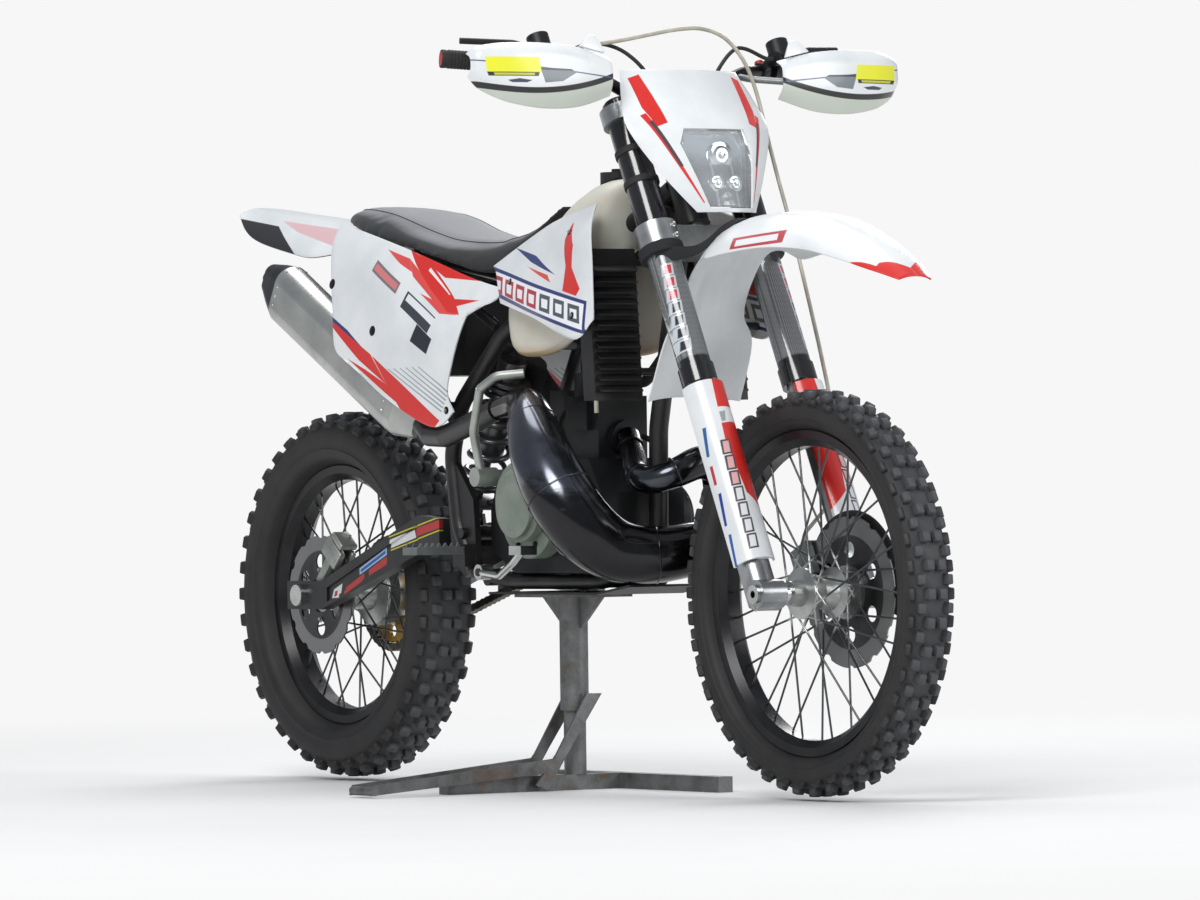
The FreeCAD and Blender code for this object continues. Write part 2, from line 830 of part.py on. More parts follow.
piece("fork_outer_tubes", both_sides(fork_leg), steer_place)
piece("fork_lower_legs", both_sides(fork_lower_leg), steer_place)
axle_items = [
    cylinder_part(
        "front_axle_rod", "sizes.front_axle_radius", "2 * sizes.fork_lug_outer + 8",
        front_axle - AXIS_Y * (lug_outer + 6),
    ),
    cylinder_part(
        "front_axle_head", "sizes.front_axle_radius + 6", "6 - sizes.seat_gap",
        front_axle - AXIS_Y * (lug_outer + 6),
    ),
]
for side, name in ((-1, "right"), (1, "left")):
    near = min(side * (size("front_hub_half") + gap), side * (lug_inner - gap))
    axle_items.append(
        cylinder_part(
            "front_spacer_" + name, "sizes.front_axle_radius + 5",
            "sizes.fork_lug_inner - sizes.front_hub_half - 2 * sizes.seat_gap",
            front_axle + AXIS_Y * near,
        )
    )
front_axle_bore = cylinder_part(
    "front_axle_hole", "sizes.front_axle_bore_radius", "2 * sizes.fork_lug_outer + 8",
    front_axle - AXIS_Y * (lug_outer + 6),
)
cut_part("front_axle", joined("front_axle_solid", axle_items), front_axle_bore)


def clamp_plate(bottom, height, ring):
    """A clamp drawn from above: two rings round the legs and the bridge between them."""
    low = Vector(0, 0, bottom)
    rings = []
    for side in (-1, 1):
        centre = Vector(leg_x, side * leg_y, bottom)
        rings.append(Part.makeCylinder(slider + ring, height, centre, AXIS_Z))
    front = leg_x + 12
    bridge = [
        Vector(-21, -30, bottom), Vector(-21, 30, bottom), Vector(leg_x - 22, leg_y, bottom),
        Vector(front, leg_y, bottom), Vector(front, -leg_y, bottom),
        Vector(leg_x - 22, -leg_y, bottom),
    ]
    plate = fused([flat_solid(bridge, AXIS_Z * height)] + rings)
    for side in (-1, 1):
        centre = Vector(leg_x, side * leg_y, bottom)
        plate = plate.cut(Part.makeCylinder(slider + gap, height, centre, AXIS_Z))
    return plate


lower_top = size("lower_clamp_bottom") + size("lower_clamp_height")
upper_top = size("top_clamp_bottom") + size("top_clamp_height")
lower_clamp = clamp_plate(size("lower_clamp_bottom"), size("lower_clamp_height"), 9)
stem = rod(
    Vector(0, 0, size("lower_clamp_bottom")), Vector(0, 0, upper_top + 8), size("stem_radius")
)
piece("lower_clamp", fused([lower_clamp, stem]), steer_place)
top_clamp = clamp_plate(size("top_clamp_bottom"), size("top_clamp_height"), 8)
stem_hole = Part.makeCylinder(
    size("stem_radius") + gap, size("top_clamp_height"),
    Vector(0, 0, size("top_clamp_bottom")), AXIS_Z,
)
bar_n = 20
bar_s = upper_top + 30
mounts = []
for side in (-1, 1):
    mounts.append(
        box(Vector(bar_n - 17, side * 45 - 14, upper_top), Vector(bar_n + 17, side * 45 + 14, bar_s + 18))
    )
bar_hole = Part.makeCylinder(
    size("bar_clamp_radius") + gap, 140, Vector(bar_n, -70, bar_s), AXIS_Y
)
piece("top_clamp", fused([top_clamp.cut(stem_hole)] + mounts).cut(bar_hole), steer_place)

# Handlebar, controls and handguards


def bar_points(side):
    return [
        steer_point(bar_n, 0, bar_s),
        steer_point(bar_n, side * 72, bar_s),
        steer_point(bar_n + 20, side * 168, bar_s + 40),
        steer_point(-33, side * size("bar_half_width"), bar_s + 95),
    ]


bar_sides = []
for side in (-1, 1):
    bar_sides.append(tube(bar_points(side), size("bar_radius"), 70))
bar_centre = rod(
    steer_point(bar_n, -66, bar_s), steer_point(bar_n, 66, bar_s), size("bar_clamp_radius")
)
piece("handlebar", fused(bar_sides + [bar_centre]))


def bar_run(side):
    """The unit vector outwards along the grip and the bar's end on that side."""
    points = bar_points(side)
    return (points[3] - points[2]).normalize(), points[3]


def grip(side):
    out, end = bar_run(side)
    start = end - out * size("grip_length")
    sleeve = rod(start, end + out * 3, size("grip_radius"))
    flange = rod(start, start + out * 5, size("grip_radius") + 9)
    hole = rod(start, end, size("bar_radius") + gap)
    return fused([sleeve, flange]).cut(hole)


piece("grips", both_sides(grip))


def control_start(side):
    """The way out along the bar and the centre of the clamp ring's inner face."""
    out, end = bar_run(side)
    return out, end - out * (size("grip_length") + 52)


def master_end(side):
    """The place just inside the master cylinder's inner end, where its hose starts."""
    out, start = control_start(side)
    return start + steer_forward * 34 + steer_up * 6 - out * (12 + gap)


def control(side):
    """A clamp, the master cylinder in front of the bar and its lever."""
    out, start = control_start(side)
    end = bar_run(side)[1]
    ring = rod(start, start + out * 30, size("bar_radius") + 9)
    ahead = steer_forward
    master = rod(
        start + ahead * 34 - out * 12 + steer_up * 6, start + ahead * 34 + out * 46 + steer_up * 6, 13
    )
    arm = rod(start + out * 15, start + out * 15 + ahead * 34, 9)
    cup_low = start + ahead * 34 + out * 12 + steer_up * 4
    cup = rod(cup_low, cup_low + steer_up * 34, 20)
    root = start + ahead * 34 + out * 40 + steer_up * 6
    knee = start + ahead * 60 + out * 66 + steer_up * 6
    tip = end - out * 6 + ahead * 54 + steer_up * 6
    blade = tube([root, knee, tip], 5.5, 30)
    body = fused([ring, master, arm, cup, blade])
    return body.cut(rod(start, start + out * 30, size("bar_radius") + gap))


piece("controls", both_sides(control))


def guard_frame(side):
    """The aluminium bow that reaches from the bar's bend outwards behind a handguard."""
    out, end = bar_run(side)
    reach = size("guard_half_width")
    tip = end + out * (3 + gap)
    points = [
        Vector(tip.x + 102, side * 154, tip.z - 27),
        Vector(tip.x + 128, side * 156, tip.z - 32),
        Vector(tip.x + 172, side * 205, tip.z - 38),
        Vector(tip.x + 178, side * (reach - 165), tip.z - 38),
        Vector(tip.x + 166, side * (reach - 75), tip.z - 34),
    ]
    bow = tube(points, 6, 30)
    shell = guard_shell(side)
    bosses = []
    for first, second in ((2, 3), (3, 4)):
        middle = (points[first] + points[second]) * 0.5
        bosses.append(seated_boss(middle, middle + AXIS_X * 60, 5, shell))
    return fused([bow] + bosses)


# Handguard sections from the outer end inwards: x from the bar's end, y, z offset, half height
GUARD_SECTIONS = (
    (158, 455, -20, 22),
    (176, 440, -25, 40),
    (190, 390, -32, 52),
    (199, 320, -37, 57),
    (200, 250, -38, 53),
    (192, 180, -36, 34),
)


def guard_shell(side):
    out, end = bar_run(side)
    outer = []
    inner = []
    wall = size("panel_wall")
    for x, y, rise, half in GUARD_SECTIONS:
        y_wall = y - wall if y > 420 else y
        outer.append([
            Vector(end.x + x - 14, side * y_wall, end.z + rise + half),
            Vector(end.x + x + 4, side * y, end.z + rise + half * 0.4),
            Vector(end.x + x + 4, side * y, end.z + rise - half * 0.4),
            Vector(end.x + x - 10, side * y_wall, end.z + rise - half),
        ])
        inner.append([point - Vector(wall * 1.2, side * wall * 1.2, 0) for point in outer[-1]])
    return grid_solid(outer, inner)


piece("handguard_frames", both_sides(guard_frame))
piece("handguards", both_sides(guard_shell))

# Headlight mask and lamp: rows of height, middle x, edge x and half width
MASK_ROWS = (
    (1265, 372, 336, 122),
    (1215, 415, 365, 140),
    (1160, 452, 397, 149),
    (1085, 486, 436, 112),
    (1012, 512, 480, 62),
)


def mask_grid(push):
    grid = []
    for z, middle, edge, half in MASK_ROWS:
        row = []
        for c in range(7):
            across = c / 3 - 1
            x = middle - (middle - edge) * across * across
            row.append(Vector(x - push, half * across, z))
        grid.append(row)
    return grid


def lamp_prism(grow, near, far):
    outline = [
        Vector(near, -66 - grow, 1153 + grow), Vector(near, 66 + grow, 1153 + grow),
        Vector(near, 42 + grow, 1022 - grow), Vector(near, -42 - grow, 1022 - grow),
    ]
    return flat_solid(outline, AXIS_X * (far - near))


mask_skin = grid_solid(mask_grid(0), mask_grid(size("panel_wall")))
lamp_front = grid_solid(mask_grid(2), mask_grid(12)).common(lamp_prism(-gap, 380, 560))
bowl_back = Vector(392, 0, 1094)
bowl_front = Vector(436, 0, 1088)
lamp_rim = seated_boss(bowl_front, bowl_front + AXIS_X * 60, 44, lamp_front)
lamp_bowl = fused([cone(bowl_back, bowl_front, 22, 44), lamp_rim])
mask_shell = mask_skin.cut(lamp_prism(0, 380, 560))
mask_pads = []
for side in (-1, 1):
    low_side = side * leg_y - 12
    strap_pad = box(
        Vector(leg_x + slider * 0.6, low_side, 796), Vector(leg_x + slider + 6, low_side + 24, 820)
    ).cut(rod(Vector(leg_x, side * leg_y, 790), Vector(leg_x, side * leg_y, 830), slider + gap))
    mask_pads.append(moved(strap_pad, steer_place))
    pad_front = steer_point(leg_x + slider + 3, side * leg_y, 808)
    mask_pads.append(seated_boss(pad_front, pad_front + AXIS_X * 70, 5, mask_shell))
piece("headlight_mask", Part.makeCompound([fused([mask_shell] + mask_pads), lamp_bowl]))
piece("headlight_lens", lamp_front)

# Front mudguard and fork guards: stations of x, z, half width and drop of the edge
FRONT_FENDER = (
    (1034, 887, 34, 8),
    (985, 922, 62, 24),
    (920, 957, 78, 38),
    (830, 991, 90, 52),
    (720, 1008, 98, 62),
    (610, 1005, 104, 66),
    (535, 985, 104, 56),
    (500, 962, 70, 20),
    (448, 912, 68, 16),
    (412, 846, 70, 16),
    (392, 796, 94, 26),
    (352, 695, 98, 22),
)
fender_skin = arched_shell(FRONT_FENDER, size("panel_wall"))
fender_bosses = []
for side in (-1, 1):
    clamp_face = steer_point(leg_x, side * 40, size("lower_clamp_bottom") - gap)
    fender_bosses.append(seated_boss(clamp_face, clamp_face - steer_up * 90, 8, fender_skin))
piece("front_fender", fused([fender_skin] + fender_bosses))


def fork_guard(side):
    y = side * leg_y
    wall = 4
    reach = stanchion + 14
    top = size("outer_tube_bottom") - 6
    outer = Part.makeCylinder(reach, top - 60, Vector(leg_x, y, 60), AXIS_Z)
    inner = Part.makeCylinder(reach - wall, top - 60, Vector(leg_x, y, 60), AXIS_Z)
    keep_low = min(side * 76, side * 160)
    keep = box(Vector(leg_x - 6, keep_low, 50), Vector(leg_x + 60, keep_low + 84, top + 10))
    skirt = outer.cut(inner).common(keep)
    foot = box(
        Vector(leg_x + stanchion + 4 + gap, y - 12, 60), Vector(leg_x + reach, y + 12, 78)
    )
    return fused([skirt, foot.common(outer)])


piece("fork_guards", both_sides(fork_guard), steer_place)

# Front brake caliper behind the left leg and its hose
caliper_place = steer_place.multiply(FreeCAD.Placement(Vector(leg_x, 0, 0), FreeCAD.Rotation()))
caliper_y = size("front_disc_offset")
caliper_low = caliper_y - 20
caliper_high = leg_y - stanchion + 8
front_caliper_body = box(Vector(-92, caliper_low, 66), Vector(-40, caliper_high, 126))
caliper_slot = Part.makeCylinder(
    size("front_disc_radius") + 5, size("disc_thickness") + 10,
    Vector(size("axle_lead"), caliper_y - size("disc_thickness") / 2 - 5, 0), AXIS_Y,
)
caliper_arm = box(
    Vector(-44, leg_y - 12, 70), Vector(-stanchion - 4 - gap, leg_y + 12, 120)
)
caliper_bridge = box(Vector(-48, caliper_high - 2, 70), Vector(-40, leg_y + 12, 120))
piece(
    "front_caliper",
    fused([front_caliper_body.cut(caliper_slot), caliper_arm, caliper_bridge]),
    caliper_place,
)

# Seat: stations of x, top z, bottom z and half width
SEAT_STATIONS = (
    (-668, 1052, 1040, 58),
    (-590, 1058, 1024, 98),
    (-472, 1044, 996, 118),
    (-330, 1008, 970, 124),
    (-239, 990, 948, 122),
    (-120, 984, 926, 104),
    (-20, 1006, 980, 84),
    (56, 1046, 1036, 66),
)
seat_rings = []
for x, top, low, half in SEAT_STATIONS:
    rise = (top - low) * 0.45
    points = [
        Vector(x, -half, low), Vector(x, half, low), Vector(x, half, low + rise),
        Vector(x, half * 0.66, top), Vector(x, -half * 0.66, top), Vector(x, -half, low + rise),
    ]
    seat_rings.append(Part.makePolygon(points + [points[0]]))
seat_shape = Part.makeLoft(seat_rings, True, True)
piece("seat", seat_shape)

# Side panels: rows of x, y, z from the upper edge down, each from the rear to the front
PANEL_ROWS = (
    ((-600, -112, 1032), (-337, -133, 974), (-150, -122, 918), (-40, -128, 896)),
    ((-590, -140, 980), (-380, -158, 920), (-190, -152, 860), (-45, -138, 876)),
    ((-545, -168, 860), (-390, -174, 820), (-195, -170, 800), (-120, -152, 846)),
    ((-522, -177, 796), (-390, -177, 745), (-225, -174, 700), (-158, -170, 726)),
    ((-470, -177, 770), (-355, -177, 706), (-205, -174, 651), (-138, -170, 677)),
)


def side_panel(side):
    return side_skin(PANEL_ROWS, side, size("panel_wall"))


def side_panel_post(foot, side):
    """A post from the frame or subframe out to the inner face of a side panel."""
    return seated_boss(foot, foot + AXIS_Y * side * 110, 6, side_panel(side))


# Front brake hose down the left leg, and the throttle cable and clutch line to the frame:
# each a list of places ahead of, beside and along the steering axis
BRAKE_HOSE = (
    (62, -176, 1048), (86, -124, 1044), (100, -66, 1050), (106, -6, 1060),
    (106, 54, 1066), (100, 106, 1052), (88, 142, 1008), (76, 156, 950), (68, 157, 880),
    (64, 156, 800), (62, 155, 720), (58, 154, 640), (52, 153, 560), (44, 153, 480),
    (34, 153, 400), (20, 153, 326), (0, 150, 262), (-26, 140, 208), (-54, 108, 178),
    (-64, 82, 156), (-64, 82, 126.3),
)
THROTTLE_CABLE = (
    (52, -150, 1062), (76, -112, 1040), (78, -72, 1000), (62, -42, 938), (34.3, -42, 938),
)
CLUTCH_LINE = (
    (56, 168, 1060), (72, 126, 1036), (74, 84, 996), (62, 48, 938), (34.3, 48, 938),
)


def steering_line(start, side, stations, radius):
    """A cord that leaves its start along the bar, its arcs as large as the runs allow."""
    out = bar_run(side)[0]
    points = [start, start - out * 22] + [steer_point(*station) for station in stations]
    return tube(points, radius, 400)


def throttle_start():
    """A point on the inner face of the clamp ring, just above the bar."""
    out, ring = control_start(-1)
    above = (steer_up - out * steer_up.dot(out)).normalize()
    return ring - out * gap + above * (size("bar_radius") + 4.8)


piece("brake_hose", steering_line(master_end(-1), -1, BRAKE_HOSE, size("hose_radius")))
piece(
    "control_lines",
    Part.makeCompound([
        steering_line(throttle_start(), -1, THROTTLE_CABLE, size("hose_radius")),
        steering_line(master_end(1), 1, CLUTCH_LINE, size("hose_radius")),
    ]),
)

# Main frame

head_low = lower_top + 16
head_high = size("top_clamp_bottom") - 12
head_tube = rod(steer_point(0, 0, head_low), steer_point(0, 0, head_high), size("head_tube_radius"))
head_bore = rod(
    steer_point(0, 0, head_low), steer_point(0, 0, head_high),
    size("stem_radius") + size("bearing_gap"),
)
down_top = steer_point(-14, 0, head_low + 44)
rail_top = steer_point(-16, 0, head_low + 84)
downtube = tube(
    [down_top, Vector(262, 0, 640), Vector(258, 0, 452), Vector(232, 0, 392)],
    size("downtube_radius"), 120,
)
pivot_y = 110


peg_root = 138
stand_hinge = Vector(-122, 120, 352)
stand_axis = Vector(-0.26, 0.966, 0).normalize()
stand_pin_radius = 6
stand_plate = box(Vector(-140, 92 + gap, 340), Vector(-104, 104, 380))
stand_pin = rod(stand_hinge - stand_axis * 24, stand_hinge + stand_axis * 15, stand_pin_radius)
stand_head = rod(
    stand_hinge + stand_axis * 10.5, stand_hinge + stand_axis * 15, stand_pin_radius + 4
)


def frame_side(side):
    rail = tube(
        [
            rail_top + AXIS_Y * side * 12, Vector(150, side * 42, 955), Vector(0, side * 62, 880),
            Vector(-100, side * 88, 812), Vector(-205, side * pivot_y, 690),
            Vector(-236, side * pivot_y, 600), Vector(-214, side * pivot_y, 470),
            Vector(-168, side * (pivot_y - 2), 392),
        ],
        size("rail_radius"), 90,
    )
    cradle = tube(
        [
            Vector(236, side * 2, 400), Vector(180, side * 62, 372), Vector(-90, side * 76, 372),
            Vector(-168, side * (pivot_y - 2), 392),
        ],
        size("cradle_radius"), 60,
    )
    plate = side_plate(
        [(-248, 560), (-216, 585), (-160, 520), (-150, 400), (-190, 380), (-232, 420)],
        side * (pivot_y - 6), side * (pivot_y + 6),
    )
    bracket_low = min(side * pivot_y, side * peg_root)
    bracket = box(
        Vector(-196, bracket_low, 400), Vector(-156, bracket_low + peg_root - pivot_y, 440)
    )
    post = side_panel_post(Vector(-213, side * pivot_y, 690), side)
    return [rail, cradle, plate, bracket, post]


gusset = side_plate(
    [(340, 1010), (300, 1030), (215, 985), (318, 850)], -5, 5
)
cross_low = rod(Vector(-146, -98, 378), Vector(-146, 98, 378), size("cradle_radius"))
cross_top = rod(Vector(-118, -90, 800), Vector(-118, 90, 800), size("cradle_radius"))
pedal_pivot = Vector(-118, -109, 390)
pedal_pin_radius = 7
pedal_pin = rod(pedal_pivot + AXIS_Y * 22, pedal_pivot - AXIS_Y * 28, pedal_pin_radius)
engine_mount = box(Vector(212 + gap, -20, 432), Vector(248, 20, 456))
shock_top = Vector(-152, -24, 792)
shock_eye = 13
shock_ears = []
for side in (-1, 1):
    shock_ears.append(
        side_plate(
            [(-168, 780), (-168, 804), (-118, 811), (-112, 790)],
            shock_top.y + side * (shock_eye + gap), shock_top.y + side * (shock_eye + 7),
        )
    )
radiator_tabs = []
for tab_x, tab_z in ((285, 740), (272, 930)):
    reach = size("radiator_inner") - gap
    radiator_tabs.append(rod(Vector(tab_x, -reach, tab_z), Vector(tab_x, reach, tab_z), 7))
frame_parts = [
    head_tube, downtube, gusset, cross_low, cross_top, stand_plate, stand_pin, stand_head,
    pedal_pin, engine_mount,
] + shock_ears + radiator_tabs
for side in (-1, 1):
    frame_parts += frame_side(side)
pivot_bore = rod(
    pivot - AXIS_Y * 140, pivot + AXIS_Y * 140, size("pivot_radius") + gap
)
piece("main_frame", fused(frame_parts).cut(head_bore).cut(pivot_bore))


# Rear mudguard along its crown line, and the subframe that carries it
REAR_FENDER = (
    (-1059, 1077, 52, 14),
    (-1000, 1074, 74, 40),
    (-926, 1066, 88, 56),
    (-800, 1052, 100, 66),
    (-700, 1038, 108, 66),
    (-600, 1018, 100, 40),
)
rear_fender_skin = arched_shell(REAR_FENDER, size("panel_wall"))


def subframe_side(side):
    upper = tube(
        [Vector(-112, side * 88, 826), Vector(-330, side * 78, 925), Vector(-690, side * 64, 982)],
        size("subframe_radius"), 150,
    )
    lower = tube(
        [Vector(-232, side * 96, 640), Vector(-400, side * 74, 800), Vector(-600, side * 68, 968)],
        size("subframe_radius"), 150,
    )
    bosses = []
    for x in (-620, -680):
        foot = Vector(x, side * 66, 971)
        bosses.append(seated_boss(foot, foot + AXIS_Z * 90, 7, rear_fender_skin))
    seat_foot = Vector(-472, side * 71, 948)
    seat_clear = seat_shape.copy()
    seat_clear.translate(AXIS_Z * -gap)
    bosses.append(seated_boss(seat_foot, seat_foot + AXIS_Z * 80, 8, seat_clear))
    bosses.append(side_panel_post(Vector(-335, side * 78, 925), side))
    return [upper, lower] + bosses


cross_rear = rod(Vector(-640, -66, 974), Vector(-640, 66, 974), size("subframe_radius") - 2)
subframe_parts = subframe_side(-1) + subframe_side(1) + [cross_rear]
subframe_whole = fused(subframe_parts)
main_frame_shape = doc.getObject("main_frame").Shape
piece("subframe", subframe_whole.cut(main_frame_shape))

# Swingarm, rear axle and shock absorber


def swingarm_leg(side):
    inner = size("swingarm_inner")
    outer = size("swingarm_outer")
    outline = [
        (size("pivot_x") - 78, size("pivot_z") + 26), (size("pivot_x") - 150, size("pivot_z") + 32),
        (rear_axle_x + 70, rear_axle_z + 26), (rear_axle_x - 48, rear_axle_z + 26),
        (rear_axle_x - 48, rear_axle_z - 26), (rear_axle_x + 70, rear_axle_z - 26),
        (size("pivot_x") - 150, size("pivot_z") - 38), (size("pivot_x") - 78, size("pivot_z") - 34),
    ]
    leg = side_plate(outline, side * inner, side * outer)
    recess = [
        (size("pivot_x") - 150, size("pivot_z") + 16), (rear_axle_x + 90, rear_axle_z + 14),
        (rear_axle_x + 90, rear_axle_z - 12), (size("pivot_x") - 150, size("pivot_z") - 22),
    ]
    return leg.cut(side_plate(recess, side * (outer - 4), side * (outer + 1)))


arm_front = box(
    Vector(size("pivot_x") - 150, -size("swingarm_inner"), size("pivot_z") - 34),
    Vector(size("pivot_x") - 82, size("swingarm_inner"), size("pivot_z") + 2),
)
shock_low = Vector(size("pivot_x") - 116, -24, size("pivot_z") + 22)
arm_neck = []
for side in (-1, 1):
    arm_neck.append(
        box(
            Vector(size("pivot_x") - 120, min(side * 50, side * 90), size("pivot_z") - 24),
            Vector(size("pivot_x"), max(side * 50, side * 90), size("pivot_z") + 5),
        )
    )
    arm_neck.append(rod(pivot + AXIS_Y * side * 50, pivot + AXIS_Y * side * 90, 14))
    arm_neck.append(
        side_plate(
            [
                (shock_low.x - 22, size("pivot_z") - 10), (shock_low.x + 22, size("pivot_z") - 10),
                (shock_low.x + 12, shock_low.z + 12), (shock_low.x - 12, shock_low.z + 12),
            ],
            shock_low.y + side * (shock_eye + gap), shock_low.y + side * (shock_eye + 7),
        )
    )
arm = fused([swingarm_leg(-1), swingarm_leg(1), arm_front] + arm_neck)
axle_slot = rod(
    rear_axle - AXIS_Y * 140, rear_axle + AXIS_Y * 140, size("rear_axle_radius") + gap
)
swing_pin = rod(
    pivot - AXIS_Y * (pivot_y + 14), pivot + AXIS_Y * (pivot_y + 14), size("pivot_radius")
)
piece("swingarm", fused([arm.cut(axle_slot), swing_pin]))
rear_axle_items = [
    cylinder_part(
        "rear_axle_rod", "sizes.rear_axle_radius", "2 * sizes.swingarm_outer + 16",
        rear_axle - AXIS_Y * (size("swingarm_outer") + 8),
    )
]
for side, name in ((-1, "right"), (1, "left")):
    near = min(side * (size("swingarm_outer") + gap), side * (size("swingarm_outer") + 12))
    rear_axle_items.append(
        cylinder_part(
            "rear_cap_" + name, "sizes.rear_axle_radius + 7", "12 - sizes.seat_gap",
            rear_axle + AXIS_Y * near,
        )
    )
    near = min(side * (size("rear_hub_half") + gap), side * (size("swingarm_inner") - gap))
    rear_axle_items.append(
        cylinder_part(
            "rear_spacer_" + name, "sizes.rear_axle_radius + 5",
            "sizes.swingarm_inner - sizes.rear_hub_half - 2 * sizes.seat_gap",
            rear_axle + AXIS_Y * near,
        )
    )
joined("rear_axle", rear_axle_items)

shock_way = (shock_top - shock_low).normalize()
shock_parts = [
    rod(shock_low - AXIS_Y * shock_eye, shock_low + AXIS_Y * shock_eye, 13),
    rod(shock_top - AXIS_Y * shock_eye, shock_top + AXIS_Y * shock_eye, 13),
    rod(shock_low, shock_top, 12),
    rod(shock_top - shock_way * 150, shock_top - shock_way * 24, 24),
    rod(shock_low + shock_way * 40, shock_low + shock_way * 48, 42),
    rod(shock_top - shock_way * 80, shock_top - shock_way * 66, 42),
]
for k in range(7):
    ring_low = shock_low + shock_way * (52 + k * 26)
    shock_parts.append(rod(ring_low, ring_low + shock_way * 13, 39))
piece("shock_absorber", fused(shock_parts))

# Engine: crankcase, cylinder, head, covers, carburettor

half_engine = size("engine_half_width")
airbox_outline = [
    (-290, 745), (-268, 880), (-310, 915), (-560, 958), (-560, 860), (-440, 745),
]
crankcase_outline = [
    (-145, 500), (-120, 560), (20, 590), (170, 590), (208, 530), (212, 440), (170, 388), (-70, 388),
    (-145, 430),
]
crankcase_block = side_pad("crankcase_block", crankcase_outline, "2 * sizes.engine_half_width")
sprocket_bay = box_part(
    "sprocket_bay", "120", "30", "150", Vector(-170, half_engine - 26, 380)
)
cut_part("crankcase", crankcase_block, sprocket_bay)


# Side covers as stacked round steps: centre x, z, radius, start and end beyond the crankcase
CLUTCH_STEPS = (
    (22, 500, 86, 0, 34),
    (22, 515, 72, 34, 54),
    (22, 515, 60, 54, 62),
    (128, 470, 52, 0, 22),
)
IGNITION_STEPS = (
    (118, 482, 74, 0, 30),
    (118, 482, 62, 30, 44),
)


def round_cover(label, steps, side):
    """A side cover of stacked round steps, the outer edge of each one chamfered."""
    items = []
    for k, (x, z, radius, start, end) in enumerate(steps):
        foot = Vector(x, side * (half_engine + start), z)
        name = "%s_step_%d" % (label, k + 1)
        step = cylinder_part(name, str(radius), str(end - start), foot, AXIS_Y * side)
        rounded = doc.addObject("Part::Chamfer", name + "_edge")
        rounded.Base = step
        doc.recompute()
        rounded.Edges = [(3, 2.5, 2.5)]
        items.append(rounded)
    return joined(label, items)


cover_end = half_engine + size("cover_depth")
round_cover("clutch_cover", CLUTCH_STEPS, -1)
round_cover("ignition_cover", IGNITION_STEPS, 1)
block = size("cylinder_bore_block") / 2
cylinder_x = 98
cylinder_parts = [
    box(Vector(cylinder_x - block, -block, 590), Vector(cylinder_x + block, block, 700)),
    rod(Vector(cylinder_x, 0, 700), Vector(cylinder_x, 0, 742), block + 4),
    rod(Vector(cylinder_x, 0, 742), Vector(cylinder_x, 0, 764), block - 8),
    rod(Vector(cylinder_x, 0, 764), Vector(cylinder_x, 0, 792), 11),
]
exhaust_flange_x = cylinder_x + block + 14
cylinder_parts.append(
    rod(Vector(cylinder_x + block - 4, 0, 626), Vector(exhaust_flange_x, 0, 626), 31)
)
for k in range(6):
    turn = math.radians(60 * k + 30)
    bolt = Vector(cylinder_x + 40 * math.cos(turn), 40 * math.sin(turn), 760)
    cylinder_parts.append(rod(bolt, bolt + AXIS_Z * 11, 6))
cylinder_parts.append(box(Vector(cylinder_x - 30, -block - 10, 640), Vector(cylinder_x + 30, -block, 690)))
piece("cylinder", fused(cylinder_parts))


def radiator_hose(side):
    """A hose from the cylinder head to the inner face of the radiator."""
    end = Vector(262, side * (size("radiator_inner") - gap), 786)
    points = [
        Vector(cylinder_x + 52.3, side * 30, 724), Vector(cylinder_x + 80, side * 31, 724),
        Vector(252, side * 36, 786), end,
    ]
    return tube(points, 10, 30)


piece("radiator_hoses", both_sides(radiator_hose))
carb_parts = [
    rod(Vector(cylinder_x - block, 0, 640), Vector(cylinder_x - block - 24, 0, 640), 28),
    rod(Vector(cylinder_x - block - 20, 0, 641), Vector(-8, 0, 652), 24),
    rod(Vector(-30, 0, 590), Vector(-30, 0, 712), 29),
    rod(Vector(-8, 0, 652), Vector(-66, 0, 658), 31),
    cone_run([
        (Vector(-64, 2, 658), 34), (Vector(-130, 38, 690), 30), (Vector(-200, 44, 750), 28),
        (Vector(-300, 30, 800), 34),
    ]),
]
airbox_room = side_plate(airbox_outline, -size("airbox_half_width"), size("airbox_half_width"))
piece("carburettor", fused(carb_parts).cut(airbox_room))

# Exhaust: stations of x, y, z and radius along the chamber
belly = size("belly_radius")
loop = size("pipe_front_radius")
PIPE_STATIONS = (
    (exhaust_flange_x + gap, 0, 626, size("header_radius")),
    (exhaust_flange_x + 14, 0, 626, size("header_radius")),
    (220, -26, 590, size("header_radius")),
    (262, -48, 560, size("header_radius") + 1),
    (308, -48, 550, size("header_radius") + 2),
    (338, -18, 562, size("header_radius") + 4),
    (338, 34, 580, size("header_radius") + 7),
    (318, 84, 572, 33),
    (300, 112, 530, 37),
    (304, 108, 478, 41),
    (322, 70, 440, 44),
    (330, 16, 428, loop),
    (306, -52, 420, 51),
    (272, -104, 430, 56),
    (246, -150, 470, belly),
    (210, -178, 530, belly),
    (160, -180, 596, belly - 6),
    (108, -164, 650, 44),
    (58, -142, 684, 32),
    (10, -134, 690, 24),
    (-50, -134, 680, size("stinger_radius")),
)
pipe = cone_run([(Vector(x, y, z), radius) for x, y, z, radius in PIPE_STATIONS])
piece("exhaust_pipe", pipe)

sil_front = Vector(-284, -136, 652)
sil_rear = Vector(-790, -136, 925)
link = cone_run([
    (Vector(-50.8, -134, 679.9), size("stinger_radius") + 3),
    (Vector(-57, -134, 678.8), size("stinger_radius") + 3),
    (Vector(-120, -142, 656), size("stinger_radius") + 3),
    (Vector(-200, -148, 634), size("stinger_radius") + 3),
    (Vector(-252, -146, 636), size("stinger_radius") + 3),
    (sil_front + Vector(-8, 0, 4.3), size("stinger_radius") + 3),
])


